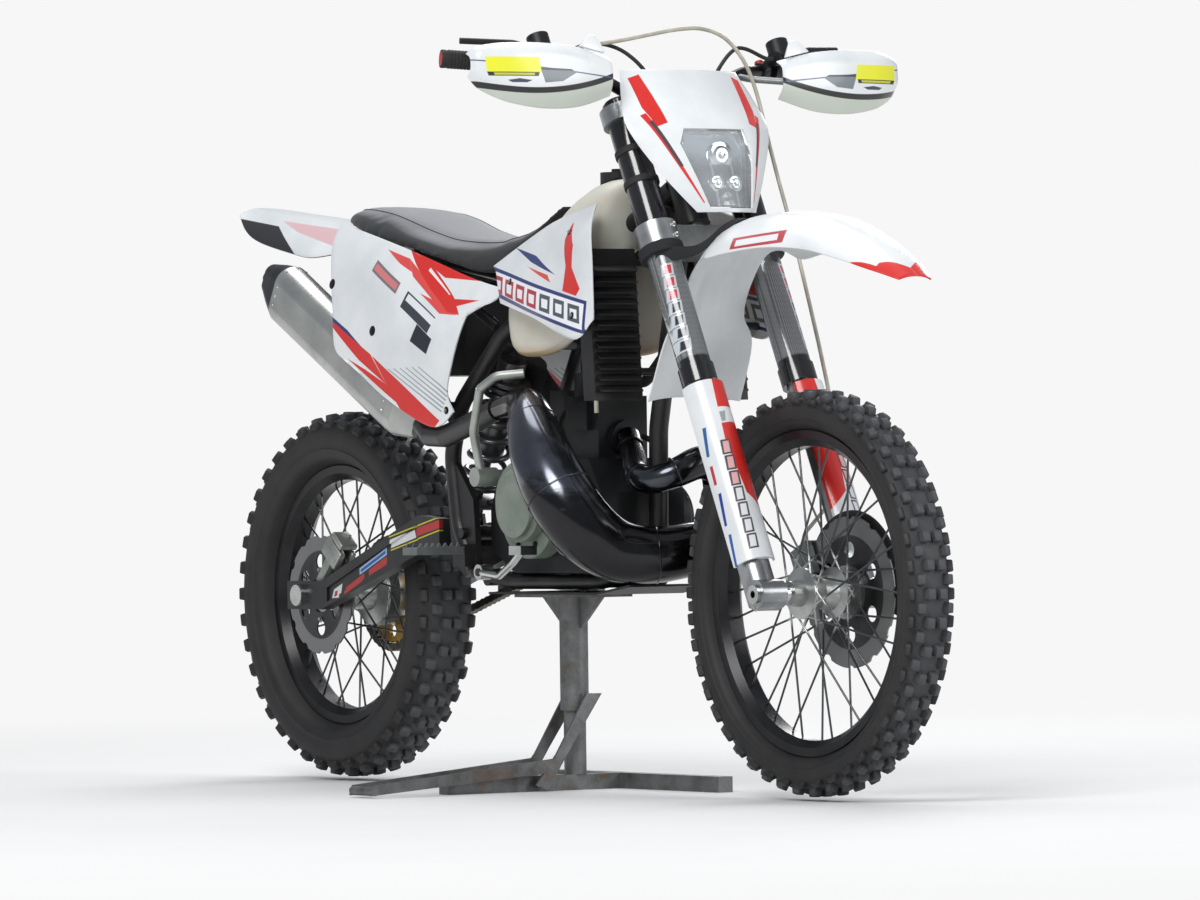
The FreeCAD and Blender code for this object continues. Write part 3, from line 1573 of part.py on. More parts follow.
def oval_wire(centre, along, width, height):
    """A racetrack ring square to along, tall in the vertical plane."""
    up = along.cross(AXIS_Y).normalize() * -1
    if up.z < 0:
        up = up * -1
    radius = width / 2
    straight = up * (height / 2 - radius)
    right = AXIS_Y * radius
    top = centre + straight
    low = centre - straight
    edges = [
        Part.Arc(top + right, top + up * radius, top - right).toShape(),
        Part.LineSegment(top - right, low - right).toShape(),
        Part.Arc(low - right, low - up * radius, low + right).toShape(),
        Part.LineSegment(low + right, top + right).toShape(),
    ]
    return Part.Wire(edges)


sil_way = (sil_rear - sil_front).normalize()
sil_rings = []
for place, scale in ((0, 0.45), (70, 0.96), (90, 1.0), (530, 1.0), (560, 0.8), (598, 0.5)):
    sil_rings.append(
        oval_wire(
            sil_front + sil_way * place, sil_way,
            size("silencer_width") * scale, size("silencer_height") * scale,
        )
    )
piece("silencer", fused([Part.makeLoft(sil_rings, True, True), link]))

# Fuel tank, cap, radiators and shrouds

TANK_SECTIONS = (
    (-62, 918, 890, 812, 112),
    (-20, 960, 900, 768, 122),
    (95, 1052, 945, 768, 126),
    (175, 1084, 980, 800, 118),
    (238, 1060, 985, 880, 96),
)
tunnel = size("tank_tunnel_half")
tank_rings = []
for x, top, shoulder, low, half in TANK_SECTIONS:
    half = half * size("tank_half_width") / 126
    ring = [
        (-half, low), (-half, shoulder), (-half * 0.55, top), (half * 0.55, top),
        (half, shoulder), (half, low),
    ]
    points = [Vector(x, y, z) for y, z in ring]
    tank_rings.append(Part.makePolygon(points + [points[0]]))
tank = Part.makeLoft(tank_rings, True, True)
tunnel_cut = flat_solid(
    [
        Vector(-80, -tunnel, 700), Vector(-80, -tunnel, 852), Vector(-20, -tunnel, 905),
        Vector(110, -tunnel, 965), Vector(200, -tunnel, 1012), Vector(300, -tunnel, 1060),
        Vector(300, -tunnel, 700),
    ],
    AXIS_Y * 2 * tunnel,
)
rail_pass = flat_solid(
    [
        Vector(-80, -tunnel - 26, 800), Vector(-80, -tunnel - 26, 866), Vector(-24, -tunnel - 26, 880),
        Vector(-12, -tunnel - 26, 800),
    ],
    AXIS_Y * 2 * (tunnel + 26),
)
tank_shape = tank.cut(tunnel_cut).cut(rail_pass)
piece("fuel_tank", tank_shape)
cap_low = Vector(150, 0, 1073)
cap = fused([
    rod(cap_low - AXIS_Z * 20, cap_low + AXIS_Z * 22, 34),
    rod(cap_low + AXIS_Z * 22, cap_low + AXIS_Z * 28, 14),
])
piece("tank_cap", cap.cut(tank_shape).cut(tunnel_cut))


SHROUD_ROWS = (
    ((243, -112, 1036), (326, -182, 989), (340, -190, 925), (356, -199, 838), (350, -197, 826)),
    ((150, -128, 1012), (240, -174, 965), (262, -188, 905), (286, -203, 815), (296, -200, 796)),
    ((68, -130, 985), (120, -154, 950), (130, -172, 908), (140, -184, 862), (150, -184, 836)),
    ((-60, -132, 935), (-40, -140, 925), (-30, -144, 908), (-20, -148, 890), (-12, -150, 868)),
)


def shroud(side):
    return side_skin(SHROUD_ROWS, side, size("panel_wall"))


def radiator(side):
    """A core between two end tanks, leaning with the steering head."""
    inner = size("radiator_inner")
    outer = size("radiator_outer")
    low = size("radiator_bottom")
    high = size("radiator_top")
    depth = size("radiator_depth")
    front_low = 306
    front_high = 286
    outline = [
        (front_low, low), (front_high, high), (front_high - depth, high), (front_low - depth, low),
    ]
    core = side_plate(outline, side * inner, side * outer)
    louvres = []
    pitch = size("louvre_pitch")
    rows = int((high - low - 30) / pitch)
    for k in range(rows):
        z = low + 22 + k * pitch
        face = front_low + (front_high - front_low) * (z - low) / (high - low)
        slat = [(face - 2, z + 6), (face + size("louvre_depth"), z - 4),
                (face + size("louvre_depth"), z - 7), (face - 2, z + 3)]
        louvres.append(side_plate(slat, side * (inner + 6), side * (outer - 6)))
    skin = shroud(side)
    bosses = []
    for x, z in ((284, 820), (270, 905)):
        root = Vector(x, side * (outer - 6), z)
        bosses.append(seated_boss(root, root + AXIS_Y * side * 70, 7, skin))
    return fused([core] + louvres + bosses)


piece("radiators", both_sides(radiator))

piece("shrouds", both_sides(shroud))

# Side panels and airbox
piece("side_panels", both_sides(side_panel))
side_pad("airbox", airbox_outline, "2 * sizes.airbox_half_width")

piece("rear_fender", rear_fender_skin)

# Skid plate, footpegs, pedal and levers
skid_low = size("stand_top")
skid = size("skid_wall")
skid_outline = [
    (-150, skid_low), (196, skid_low), (300, skid_low + 14), (299, skid_low + 14 + skid),
    (195, skid_low + skid), (-150, skid_low + skid),
]
skid_body = side_pad("skid_plate", skid_outline, "2 * sizes.skid_half_width")
drain = new_sketch(skid_body, "XY_Plane", "skid_drains")
for x in (-110, 90, 150):
    for y in (-60, 60):
        draw_circle(drain, "9", (x, y))
pocket_through(skid_body, drain, "skid_drain_holes")


def footpeg(side):
    """An open cast frame with a row of teeth along each long edge."""
    near = peg_root + gap
    far = size("peg_reach")
    low = min(side * near, side * far)
    length = far - near
    tread = box(Vector(-206, low, 422), Vector(-158, low + length, 436))
    windows = []
    teeth = []
    for k in range(3):
        y = low + 10 + k * (length - 14) / 3
        windows.append(
            box(Vector(-198, y, 420), Vector(-166, y + (length - 14) / 3 - 6, 440))
        )
    for k in range(7):
        y = low + 4 + k * (length - 8) / 7
        tooth = [Vector(0, y, 434), Vector(0, y + 11, 434), Vector(0, y + 5.5, 443)]
        for x in (-206, -163):
            teeth.append(flat_solid([point + AXIS_X * x for point in tooth], AXIS_X * 5))
    return fused([tread.cut(Part.makeCompound(windows))] + teeth)


piece("footpegs", both_sides(footpeg))
pedal_parts = [
    rod(pedal_pivot, pedal_pivot - AXIS_Y * 26, 14),
    tube(
        [
            pedal_pivot - AXIS_Y * 20, Vector(-40, -140, 384), Vector(60, -176, 408),
            Vector(118, -196, 428),
        ],
        7, 40,
    ),
    box(Vector(104, -214, 422), Vector(142, -180, 438)),
]
pedal_bore = rod(
    pedal_pivot + AXIS_Y, pedal_pivot - AXIS_Y * 40, pedal_pin_radius + gap
)
piece("brake_pedal", fused(pedal_parts).cut(pedal_bore))
shift_arm = [
    Vector(-30, half_engine + 56, 440), Vector(40, half_engine + 58, 428),
    Vector(96, half_engine + 60, 420),
]
shift_parts = [
    rod(Vector(-30, half_engine, 440), Vector(-30, half_engine + 62, 440), 9),
    tube(shift_arm, 6, 40),
    rod(Vector(96, half_engine + 52, 420), Vector(96, half_engine + 92, 420), 9),
]
piece("shift_lever", fused(shift_parts))
kick_knee = Vector(-10, -cover_end - 46, 716)
kick_arm = [Vector(-66, -cover_end - 8, 560), Vector(-52, -cover_end - 34, 640), kick_knee]
kick_foot = [kick_knee, Vector(18, -cover_end - 30, 738), Vector(50, -cover_end + 8, 742)]
kick_parts = [
    rod(Vector(-66, -half_engine, 560), Vector(-66, -cover_end + 20, 560), 13),
    rod(Vector(-66, -cover_end + 20, 560), Vector(-66, -cover_end - 24, 560), 17),
    tube(kick_arm, 8, 60),
    tube(kick_foot, 8, 30),
]
piece("kick_lever", fused(kick_parts))

# Side stand, folded back along the left of the swingarm
stand_tip = Vector(-455, 142, 374)
stand_eye = rod(stand_hinge - stand_axis * 10, stand_hinge + stand_axis * 10, 14)
stand_leg = tube([stand_hinge, Vector(-178, 134, 356), stand_tip], 9, 60)
stand_foot = box(stand_tip + Vector(-14, -6, -26), stand_tip + Vector(12, 26, -4))
stand_bore = rod(
    stand_hinge - stand_axis * 14, stand_hinge + stand_axis * 14,
    stand_pin_radius + size("bearing_gap"),
)
stand_head_room = rod(
    stand_hinge + stand_axis * 10.2, stand_hinge + stand_axis * 26, stand_pin_radius + 5
)
stand_whole = fused([stand_eye, stand_leg, stand_foot])
piece("side_stand", stand_whole.cut(stand_bore).cut(stand_head_room))

# Rear brake caliper on the swingarm
rear_cal_low = rear_axle + Vector(36, -size("rear_disc_offset") - 18, 62)
rear_cal = box(rear_cal_low, rear_cal_low + Vector(66, 36, 56))
rear_slot = Part.makeCylinder(
    size("rear_disc_radius") + 5, size("disc_thickness") + 10,
    rear_axle - AXIS_Y * (size("rear_disc_offset") + size("disc_thickness") / 2 + 5), AXIS_Y,
)
rear_hanger = box(
    Vector(rear_cal_low.x + 8, -size("swingarm_inner") - 4, rear_axle_z + 32.3),
    Vector(rear_cal_low.x + 50, -size("swingarm_inner") + 4, rear_cal_low.z + 20),
)
piece("rear_caliper", fused([rear_cal.cut(rear_slot), rear_hanger]))

# Lift stand: T-shaped base, telescoping post, saddle and foot lever

bar_z = size("stand_bar_height")
post_x = size("stand_post_x")
long_bar = box(
    Vector(post_x - size("stand_half_length"), size("stand_bar_y") - 15, 0),
    Vector(post_x + size("stand_half_length"), size("stand_bar_y") + 15, bar_z),
)
cross_bar = box(
    Vector(post_x - 15, -size("stand_foot_y"), 0), Vector(post_x + 15, size("stand_bar_y"), bar_z)
)
inner_post = rod(Vector(post_x, 0, bar_z), Vector(post_x, 0, 300), size("stand_inner_radius"))
piece("stand_base", fused([long_bar, cross_bar, inner_post]))
outer_post = rod(Vector(post_x, 0, 142), Vector(post_x, 0, size("stand_top") - 6), size("stand_outer_radius"))
outer_hole = rod(Vector(post_x, 0, 142), Vector(post_x, 0, 301), size("stand_inner_radius") + gap)
saddle = box(
    Vector(post_x - 100, -60, size("stand_top") - 6), Vector(post_x + 100, 60, size("stand_top"))
)
rib_outline = [
    (post_x - 96, size("stand_top") - 6), (post_x + 96, size("stand_top") - 6),
    (post_x + 26, size("stand_top") - 62), (post_x - 26, size("stand_top") - 62),
]
rib = side_plate(rib_outline, -3, 3)
lever_face = 32
lever_wall = 5
post_lugs = []
for side in (-1, 1):
    near = post_x + side * 22
    far = post_x + side * (lever_face - gap)
    post_lugs.append(box(Vector(min(near, far), -4, 146), Vector(max(near, far), 20, 172)))
piece("stand_post", fused([outer_post, saddle, rib] + post_lugs).cut(outer_hole))

# The foot lever: two linked plates beside the post, a tread bar and two pins at the base bar
lever_parts = []
for side in (-1, 1):
    face = post_x + side * lever_face
    link_outline = [(34, 172), (2, 172), (-64, 66), (-108, 12), (-84, 2), (-34, 76)]
    arm_outline = [(-70, 34), (-70, 58), (-448, 22), (-454, 4)]
    for outline in (link_outline, arm_outline):
        points = [Vector(face, y, z) for y, z in outline]
        lever_parts.append(flat_solid(points, AXIS_X * side * lever_wall))
    near = Vector(post_x + side * (15 + gap), -92, 14)
    lever_parts.append(rod(near, Vector(face, -92, 14), 6))
tread_half = lever_face + lever_wall
lever_parts.append(
    rod(Vector(post_x - tread_half, -446, 12), Vector(post_x + tread_half, -446, 12), 8)
)
piece("stand_lever", fused(lever_parts))

doc.recompute()
nodes = []
for item in doc.Objects:
    solid_part = item.TypeId == "PartDesign::Body" or item.TypeId.startswith("Part::")
    if solid_part and not item.InList:
        nodes.append(item)
for item in doc.Objects:
    if "Invalid" in item.State or "Error" in item.State:
        raise RuntimeError("failed object: " + item.Label)
for item in nodes:
    if item.Shape.isNull() or not item.Shape.isValid():
        raise RuntimeError("bad shape: " + item.Label)
for item in nodes:
    item.Shape.exportStep("parts/%s.step" % item.Label)
print("nodes", len(nodes))
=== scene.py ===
# %% [markdown]
# # A two-stroke dirt bike on its lift stand
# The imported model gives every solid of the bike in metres, with +X forward, +Y to the
# rider's left and +Z up. This lesson dresses it: it sets a camera and a small studio,
# gives each solid a finish of its own, and adds the pieces that need softer or finer
# shapes than a solid has, such as the tyres, the seat and the fasteners.

# %% Load the frame
import math
import bmesh
import bpy
from mathutils import Matrix, Vector


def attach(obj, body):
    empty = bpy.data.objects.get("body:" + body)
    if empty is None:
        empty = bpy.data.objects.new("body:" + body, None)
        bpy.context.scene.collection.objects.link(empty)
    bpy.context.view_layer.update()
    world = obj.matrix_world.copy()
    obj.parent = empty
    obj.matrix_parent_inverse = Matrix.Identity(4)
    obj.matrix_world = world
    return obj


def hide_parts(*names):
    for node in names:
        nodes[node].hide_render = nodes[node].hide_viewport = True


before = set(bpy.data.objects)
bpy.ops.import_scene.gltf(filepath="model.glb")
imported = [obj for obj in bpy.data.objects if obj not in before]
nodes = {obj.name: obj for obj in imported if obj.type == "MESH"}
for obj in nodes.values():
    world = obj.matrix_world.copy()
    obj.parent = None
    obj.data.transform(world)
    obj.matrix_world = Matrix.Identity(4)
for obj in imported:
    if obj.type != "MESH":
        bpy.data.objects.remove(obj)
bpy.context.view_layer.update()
for name in ("Cube", "Light", "Camera"):
    if name in bpy.data.objects:
        bpy.data.objects.remove(bpy.data.objects[name])
print("solids in the frame:", len(nodes))

# %% [markdown]
# ## Measures that several cells share
# The tables of points are in millimetres and Blender works in metres. The axles and the
# steering axis are those of the solids: the fork is told by how far a point lies ahead of
# its base, to the side, and along it. The silencer has a front end and a direction too.

# %% Measures
MM = 0.001
FRONT_AXLE = (737, 0, 354)
REAR_AXLE = (-745, 0, 346)
STEER_BASE = Vector((703.7, 0, 337.8))
STEER_AHEAD = Vector((0.8988, 0, 0.4384))
STEER_UP = Vector((-0.4384, 0, 0.8988))
SILENCER_FRONT = Vector((-284, -136, 652))
SILENCER_WAY = Vector((-0.8802, 0, 0.4749))
print("wheelbase in mm:", FRONT_AXLE[0] - REAR_AXLE[0])

# %% [markdown]
# ## The camera
# The photograph was taken from far away with a long lens, low and in front of the bike's
# right side. A camera object looks along its own -Z, so the three unit vectors of its
# view become the columns of its matrix. A slight roll is part of the picture.

# %% The camera
PHOTO_WIDTH = 1200
FOCAL_LENGTH = 7720.5  # in pixels of the photograph
SENSOR = 36.0
eye = Vector((11.4519, -7.6444, 0.5437))
view_right = Vector((0.55768, 0.82995, -0.01318))
view_up = Vector((0.01107, 0.00844, 0.99990))
view_back = view_right.cross(view_up)
camera_data = bpy.data.cameras.new("camera")
camera_data.sensor_width = SENSOR
camera_data.lens = FOCAL_LENGTH * SENSOR / PHOTO_WIDTH
camera_data.clip_end = 200
camera = bpy.data.objects.new("camera", camera_data)
bpy.context.scene.collection.objects.link(camera)
turn = Matrix((view_right, view_up, view_back)).transposed().to_4x4()
camera.matrix_world = Matrix.Translation(eye) @ turn
bpy.context.scene.camera = camera
print("lens in mm:", round(camera_data.lens, 1))

# %% [markdown]
# ## Shader maths as plain expressions
# Node trees get hard to read when every sum is a node made by hand. A `Wire` wraps a
# socket, so that `a * 2 + b` adds the Math nodes itself. A `Paint` is a material, and its
# method `node` makes any other node from its type, its settings and the values or links
# of its sockets.


# %% Shader maths
class Wire:
    """A shader socket that can be used in a Python expression."""

    def __init__(self, paint, socket):
        self.paint = paint
        self.socket = socket

    def __add__(self, other):
        return self.paint.maths("ADD", self, other)

    __radd__ = __add__

    def __sub__(self, other):
        return self.paint.maths("SUBTRACT", self, other)

    def __rsub__(self, other):
        return self.paint.maths("SUBTRACT", other, self)

    def __mul__(self, other):
        return self.paint.maths("MULTIPLY", self, other)

    __rmul__ = __mul__

    def __and__(self, other):
        return self.paint.maths("MINIMUM", self, other)

    def __or__(self, other):
        return self.paint.maths("MAXIMUM", self, other)

    def __abs__(self):
        return self.paint.maths("ABSOLUTE", self)


class Paint:
    """A material with one Principled shader, built up by expressions."""

    def __init__(self, name, **constants):
        self.material = bpy.data.materials.new(name)
        self.material.use_nodes = True
        self.tree = self.material.node_tree
        self.shader = self.tree.nodes["Principled BSDF"]
        for key, value in constants.items():
            self.shader.inputs[key.replace("_", " ")].default_value = value
        self.place = self.node("ShaderNodeTexCoord", out="Object")
        self.x = self.node("ShaderNodeSeparateXYZ", {"Vector": self.place})
        self.y, self.z = (Wire(self, self.x.socket.node.outputs[name]) for name in "YZ")

    def axis(self, letter):
        """x, y or z; a, the distance from the middle plane; or l, the way up the fork."""
        if letter == "a":
            return abs(self.y)
        if letter == "l":
            return self.along(STEER_BASE, STEER_UP)
        return getattr(self, letter)

    def along(self, foot, way):
        """How far a point lies from a foot in mm, along a way in side view, in metres."""
        return (self.x - foot.x * MM) * way.x + (self.z - foot.z * MM) * way.z

    def node(self, kind, values=None, out=0, **settings):
        """Adds a node, sets its settings first, then fills its sockets."""
        made = self.tree.nodes.new(kind)
        for key, value in settings.items():
            setattr(made, key, value)
        for key, value in (values or {}).items():
            if isinstance(value, Wire):
                self.tree.links.new(value.socket, made.inputs[key])
            else:
                made.inputs[key].default_value = value
        return Wire(self, made.outputs[out])

    def maths(self, operation, first, second=0.0):
        """One Math node."""
        return self.node("ShaderNodeMath", {0: first, 1: second}, operation=operation)

    def mix(self, factor, first, second):
        """Colour first where factor is 0 and second where it is 1."""
        values = {0: factor, 6: first, 7: second}
        return self.node("ShaderNodeMix", values, out=2, data_type="RGBA")

    def noise(self, scale, detail=3.0, stretch=(1, 1, 1), rough=0.55):
        """Cloudy noise, about 0.5 on average, stretched along the axes."""
        where = self.node("ShaderNodeMapping", {"Vector": self.place, "Scale": stretch})
        values = {"Vector": where, "Scale": scale, "Detail": detail, "Roughness": rough}
        return self.node("ShaderNodeTexNoise", values)

    def step(self, value, edge, soft=0.0005):
        """0 below the edge and 1 above it, over a soft width."""
        limits = {"Value": value, "From Min": edge - soft, "From Max": edge + soft}
        return self.node("ShaderNodeMapRange", limits, clamp=True)

    def feed(self, name, value):
        """Links a value to one of the shader's inputs."""
        self.tree.links.new(value.socket, self.shader.inputs[name])

    def bump(self, height, distance, strength=0.6):
        """A bump from a height, with its distance in metres."""
        values = {"Height": height, "Distance": distance, "Strength": strength}
        self.feed("Normal", self.node("ShaderNodeBump", values))


print("shader helpers ready")

# %% [markdown]
# ## Colours as they look on a screen
# A colour picker shows levels from 0 to 255, but a shader works in linear light, where the
# dark half of the scale is much narrower. `tint` turns the one into the other.


# %% Colours
def tint(red, green, blue):
    """A colour as seen on a screen, 0 to 255, as linear light with full alpha."""
    shades = []
    for level in (red, green, blue):
        share = level / 255
        shades.append(share / 12.92 if share <= 0.04045 else ((share + 0.055) / 1.055) ** 2.4)
    return (*shades, 1.0)


WHITE = tint(224, 227, 228)
WHITE_DIM = tint(206, 210, 212)
RED = tint(206, 42, 36)
SOFT_RED = tint(214, 74, 70)
BLUE = tint(38, 52, 112)
BLACK = tint(24, 24, 26)
GREY_LINE = tint(150, 156, 162)
PALE = tint(236, 238, 240)
print("white in linear light:", [round(level, 3) for level in WHITE[:3]])

# %% [markdown]
# ## One way to wear a surface
# No real surface is one flat colour. Moulded plastic and paint hold faint clouds of
# tone, dust and hairline scratches. `worn` mixes two tones by noise, varies the
# roughness, and adds a fine bump. Every finish of the bike starts from it.


# %% Worn surfaces
def worn(name, colour, shade, roughness, spread=0.12, cloud=9.0, grain=600.0,
         depth=0.0001, scratch=(1, 1, 1), **constants):
    """A finish in two tones with cloudy wear and a fine grain."""
    paint = Paint(name, **constants)
    paint.clouds = paint.noise(cloud, 5.0)
    fine = paint.noise(grain, 2.0, scratch)
    mask = paint.step(paint.clouds + fine * 0.25, 0.68, 0.16)
    paint.colour = paint.mix(mask, colour, shade)
    paint.feed("Base Color", paint.colour)
    paint.feed("Roughness", roughness - spread / 2 + paint.clouds * spread + (fine - 0.5) * 0.08)
    paint.bump(fine, depth)
    return paint


def recolour(paint, mask, colour):
    """Lays a colour over what is there, where the mask is 1."""
    paint.colour = paint.mix(mask, paint.colour, colour)
    paint.feed("Base Color", paint.colour)


def upwards(paint):
    """How far the surface faces up: 1 on top and -1 underneath."""
    normal = paint.node("ShaderNodeNewGeometry", out="Normal")
    return paint.node("ShaderNodeSeparateXYZ", {"Vector": normal}, out="Z")


def band(paint, first, last, width, end_width=None, plane="xz"):
    """A mask for a straight stripe between two points of a plane, in mm."""
    first, last = Vector(first) * MM, Vector(last) * MM
    u, v = (paint.axis(letter) - foot for letter, foot in zip(plane, first))
    length = (last - first).length
    way = (last - first) / length
    along = u * way.x + v * way.y
    off = abs(v * way.x - u * way.y)
    widening = 0 if end_width is None else end_width - width
    half = along * (widening / 2 * MM / length) + width / 2 * MM
    return paint.step(half - off, 0) & paint.step(along, 0) & paint.step(length - along, 0)


def patch(paint, corners, plane="xz"):
    """A mask for a convex patch whose corners, in mm, go round it either way."""
    u, v = (paint.axis(letter) for letter in plane)
    corners = [Vector(corner) * MM for corner in corners]
    runs = list(zip(corners, [*corners[1:], corners[0]]))
    side = 1 if sum(first.cross(last) for first, last in runs) > 0 else -1
    inside = None
    for first, last in runs:
        way = (last - first).normalized() * side
        off = (v - first.y) * way.x - (u - first.x) * way.y
        edge = paint.step(off, 0)
        inside = edge if inside is None else inside & edge
    return inside


print("wear helper ready")

# %% [markdown]
# ## Studio
# A pale floor holds the bike's shadow and fades to plain white further out, so that no
# horizon cuts through the picture. The world is white to the camera, also through clear
# covers, and a soft, slightly blue light for everything else. Four large, round lamps do
# the rest.

# %% Floor, world and lamps
floor_mesh = bpy.data.meshes.new("floor")
shape = bmesh.new()
bmesh.ops.create_circle(shape, cap_ends=True, radius=60, segments=64)
shape.to_mesh(floor_mesh)
shape.free()
floor = bpy.data.objects.new("floor", floor_mesh)
bpy.context.scene.collection.objects.link(floor)
ground = Paint("studio_floor", Roughness=0.9)
ground.feed("Base Color",
            ground.mix(ground.noise(3.0), tint(226, 226, 224), tint(220, 220, 219)))
reach = ground.node("ShaderNodeVectorMath", {0: ground.place}, out="Value", operation="LENGTH")
far = ground.node("ShaderNodeMapRange", {"Value": reach, "From Min": 1.2, "From Max": 5.0},
                  interpolation_type="SMOOTHSTEP")
glow = ground.node("ShaderNodeEmission", {"Color": (1, 1, 1, 1), "Strength": 0.93})
blend = ground.tree.nodes.new("ShaderNodeMixShader")
ground.tree.links.new(far.socket, blend.inputs[0])
ground.tree.links.new(ground.shader.outputs[0], blend.inputs[1])
ground.tree.links.new(glow.socket, blend.inputs[2])
ground.tree.links.new(blend.outputs[0], ground.tree.nodes["Material Output"].inputs[0])
floor_mesh.materials.append(ground.material)

world = bpy.data.worlds.new("studio")
bpy.context.scene.world = world
world.use_nodes = True
tree = world.node_tree
tree.nodes.clear()
rays = tree.nodes.new("ShaderNodeLightPath")
seen = tree.nodes.new("ShaderNodeMath")
seen.operation = "MAXIMUM"
tree.links.new(rays.outputs["Is Camera Ray"], seen.inputs[0])
tree.links.new(rays.outputs["Is Transmission Ray"], seen.inputs[1])
choice = tree.nodes.new("ShaderNodeMixShader")
tree.links.new(seen.outputs[0], choice.inputs[0])
for slot, colour, strength in ((1, (0.86, 0.9, 1.0, 1), 0.34), (2, (1, 1, 1, 1), 0.93)):
    light = tree.nodes.new("ShaderNodeBackground")
    light.inputs[0].default_value = colour
    light.inputs[1].default_value = strength
    tree.links.new(light.outputs[0], choice.inputs[slot])
target = tree.nodes.new("ShaderNodeOutputWorld")
tree.links.new(choice.outputs[0], target.inputs[0])

# place, aim, size in metres and power in watts of each lamp
LAMPS = (
    ("key", (3.2, -4.4, 4.8), (0, 0, 0.6), 3.2, 285),
    ("fill", (5.0, 2.6, 2.6), (0, 0, 0.7), 3.0, 100),
    ("top", (-1.6, 0.6, 5.2), (0, 0, 0.6), 3.6, 140),
    ("back", (-3.6, 4.2, 3.0), (0, 0, 0.7), 2.6, 110),
)
for name, place, aim, size, power in LAMPS:
    light = bpy.data.lights.new(name, "AREA")
    light.shape = "DISK"
    light.size = size
    light.energy = power
    lamp = bpy.data.objects.new(name, light)
    bpy.context.scene.collection.objects.link(lamp)
    turn = (Vector(aim) - Vector(place)).to_track_quat("-Z", "Y")
    lamp.matrix_world = Matrix.Translation(place) @ turn.to_matrix().to_4x4()
bpy.context.scene.view_settings.view_transform = "Standard"
print("lamps:", len(LAMPS))

# %% [markdown]
# ## Painting the solids
# A carried-over solid keeps its mesh and gets its finish through its material slots.
# `dress` does that for one or more nodes at a time.


# %% Dressing helper
def dress(paint, *names):
    """Gives the solids of these nodes one finish."""
    for name in names:
        data = nodes[name].data
        data.materials.clear()
        data.materials.append(paint.material)


print("dressing helper ready")

# %% [markdown]
# ## White moulded plastic and its stripes
# The panels, shrouds, mudguards, lamp mask and fork guards are white polypropylene with
# glossy film graphics. Each graphic is made of flat patches and straight stripes, given by
# their corners in millimetres. The plane says how a pair of numbers is read: "xz" is side
# view, "az" is front view with both sides alike, "xa" is from above, and "al" goes up the
# fork. Plain blocks and outlines stand for the film's lettering.


# %% White plastic
def white_skin(name, **changes):
    """Glossy white moulded plastic."""
    values = {"roughness": 0.3, "cloud": 7.0, "grain": 420.0, "depth": 0.00006,
              "Coat_Weight": 0.25, "Coat_Roughness": 0.12}
    values.update(changes)
    return worn(name, WHITE, WHITE_DIM, **values)


def patches(paint, colour, plane, *outlines):
    """Lays convex patches of one colour."""
    for corners in outlines:
        recolour(paint, patch(paint, corners, plane), colour)


def stripes(paint, colour, plane, *rows):
    """Lays straight stripes of one colour: two ends, and a width or two."""
    for first, last, *widths in rows:
        recolour(paint, band(paint, first, last, *widths, plane=plane), colour)


print("white plastic ready")

# %% [markdown]
# ## Side panel graphics
# Red flashes run down the lower edge towards the front, and along the seat above. Six fine
# grey lines narrow towards the front corner, and dark and pale blocks stand for the film's
# smaller marks.

# %% Side panel graphics
panel = white_skin("side_panel_white")
patches(panel, BLUE, "xz", ((-583, 874), (-488, 832), (-408, 784), (-446, 799), (-566, 857)))
patches(
    panel, RED, "xz",
    ((-561, 852), (-537, 847), (-404, 786), (-349, 729), (-443, 776)),
    ((-404, 786), (-304, 732), (-180, 662), (-208, 640), (-304, 680), (-349, 729)),
    ((-480, 779), (-425, 760), (-330, 722), (-300, 688), (-349, 712)))
patches(
    panel, SOFT_RED, "xz",
    ((-440, 986), (-324, 957), (-301, 924), (-349, 949)),
    ((-324, 957), (-226, 895), (-189, 868), (-205, 862), (-301, 924)),
    ((-271, 893), (-202, 870), (-150, 850), (-203, 854)))
patches(
    panel, RED, "xz",
    ((-335, 980), (-120, 928), (-95, 908), (-216, 919), (-258, 940)),
    ((-335, 978), (-256, 942), (-175, 882), (-143, 850), (-183, 857), (-246, 900),
     (-299, 943)),
    ((-192, 881), (-95, 875), (-169, 865)))
stripes(panel, WHITE, "xz", ((-262, 936), (-190, 888), 6, 2))
for k in range(6):
    share = k / 5
    start = (-346 + 100 * share, 758 + 2 * share)
    stop = (-173 + 21 * share, 678 + 33 * share)
    stripes(panel, GREY_LINE, "xz", (start, stop, 2, 3.2))
for colour, row in (
    (tint(54, 58, 66), ((-312, 884), (-218, 833), 32)),
    (tint(222, 225, 228), ((-304, 887), (-214, 839), 13)),
    (tint(120, 112, 116), ((-425, 948), (-335, 903), 22)),
    (tint(206, 120, 120), ((-421, 946), (-339, 905), 12)),
    (tint(34, 36, 44), ((-268, 822), (-215, 795), 34, 30)),
):
    stripes(panel, colour, "xz", row)
dress(panel, "side_panels")
print("side panel graphics laid")

# %% [markdown]
# ## Shroud graphics
# A red flash stands at the front edge. Below it a blue frame holds a row of outlined
# plates, red towards the seat and grey towards the front.

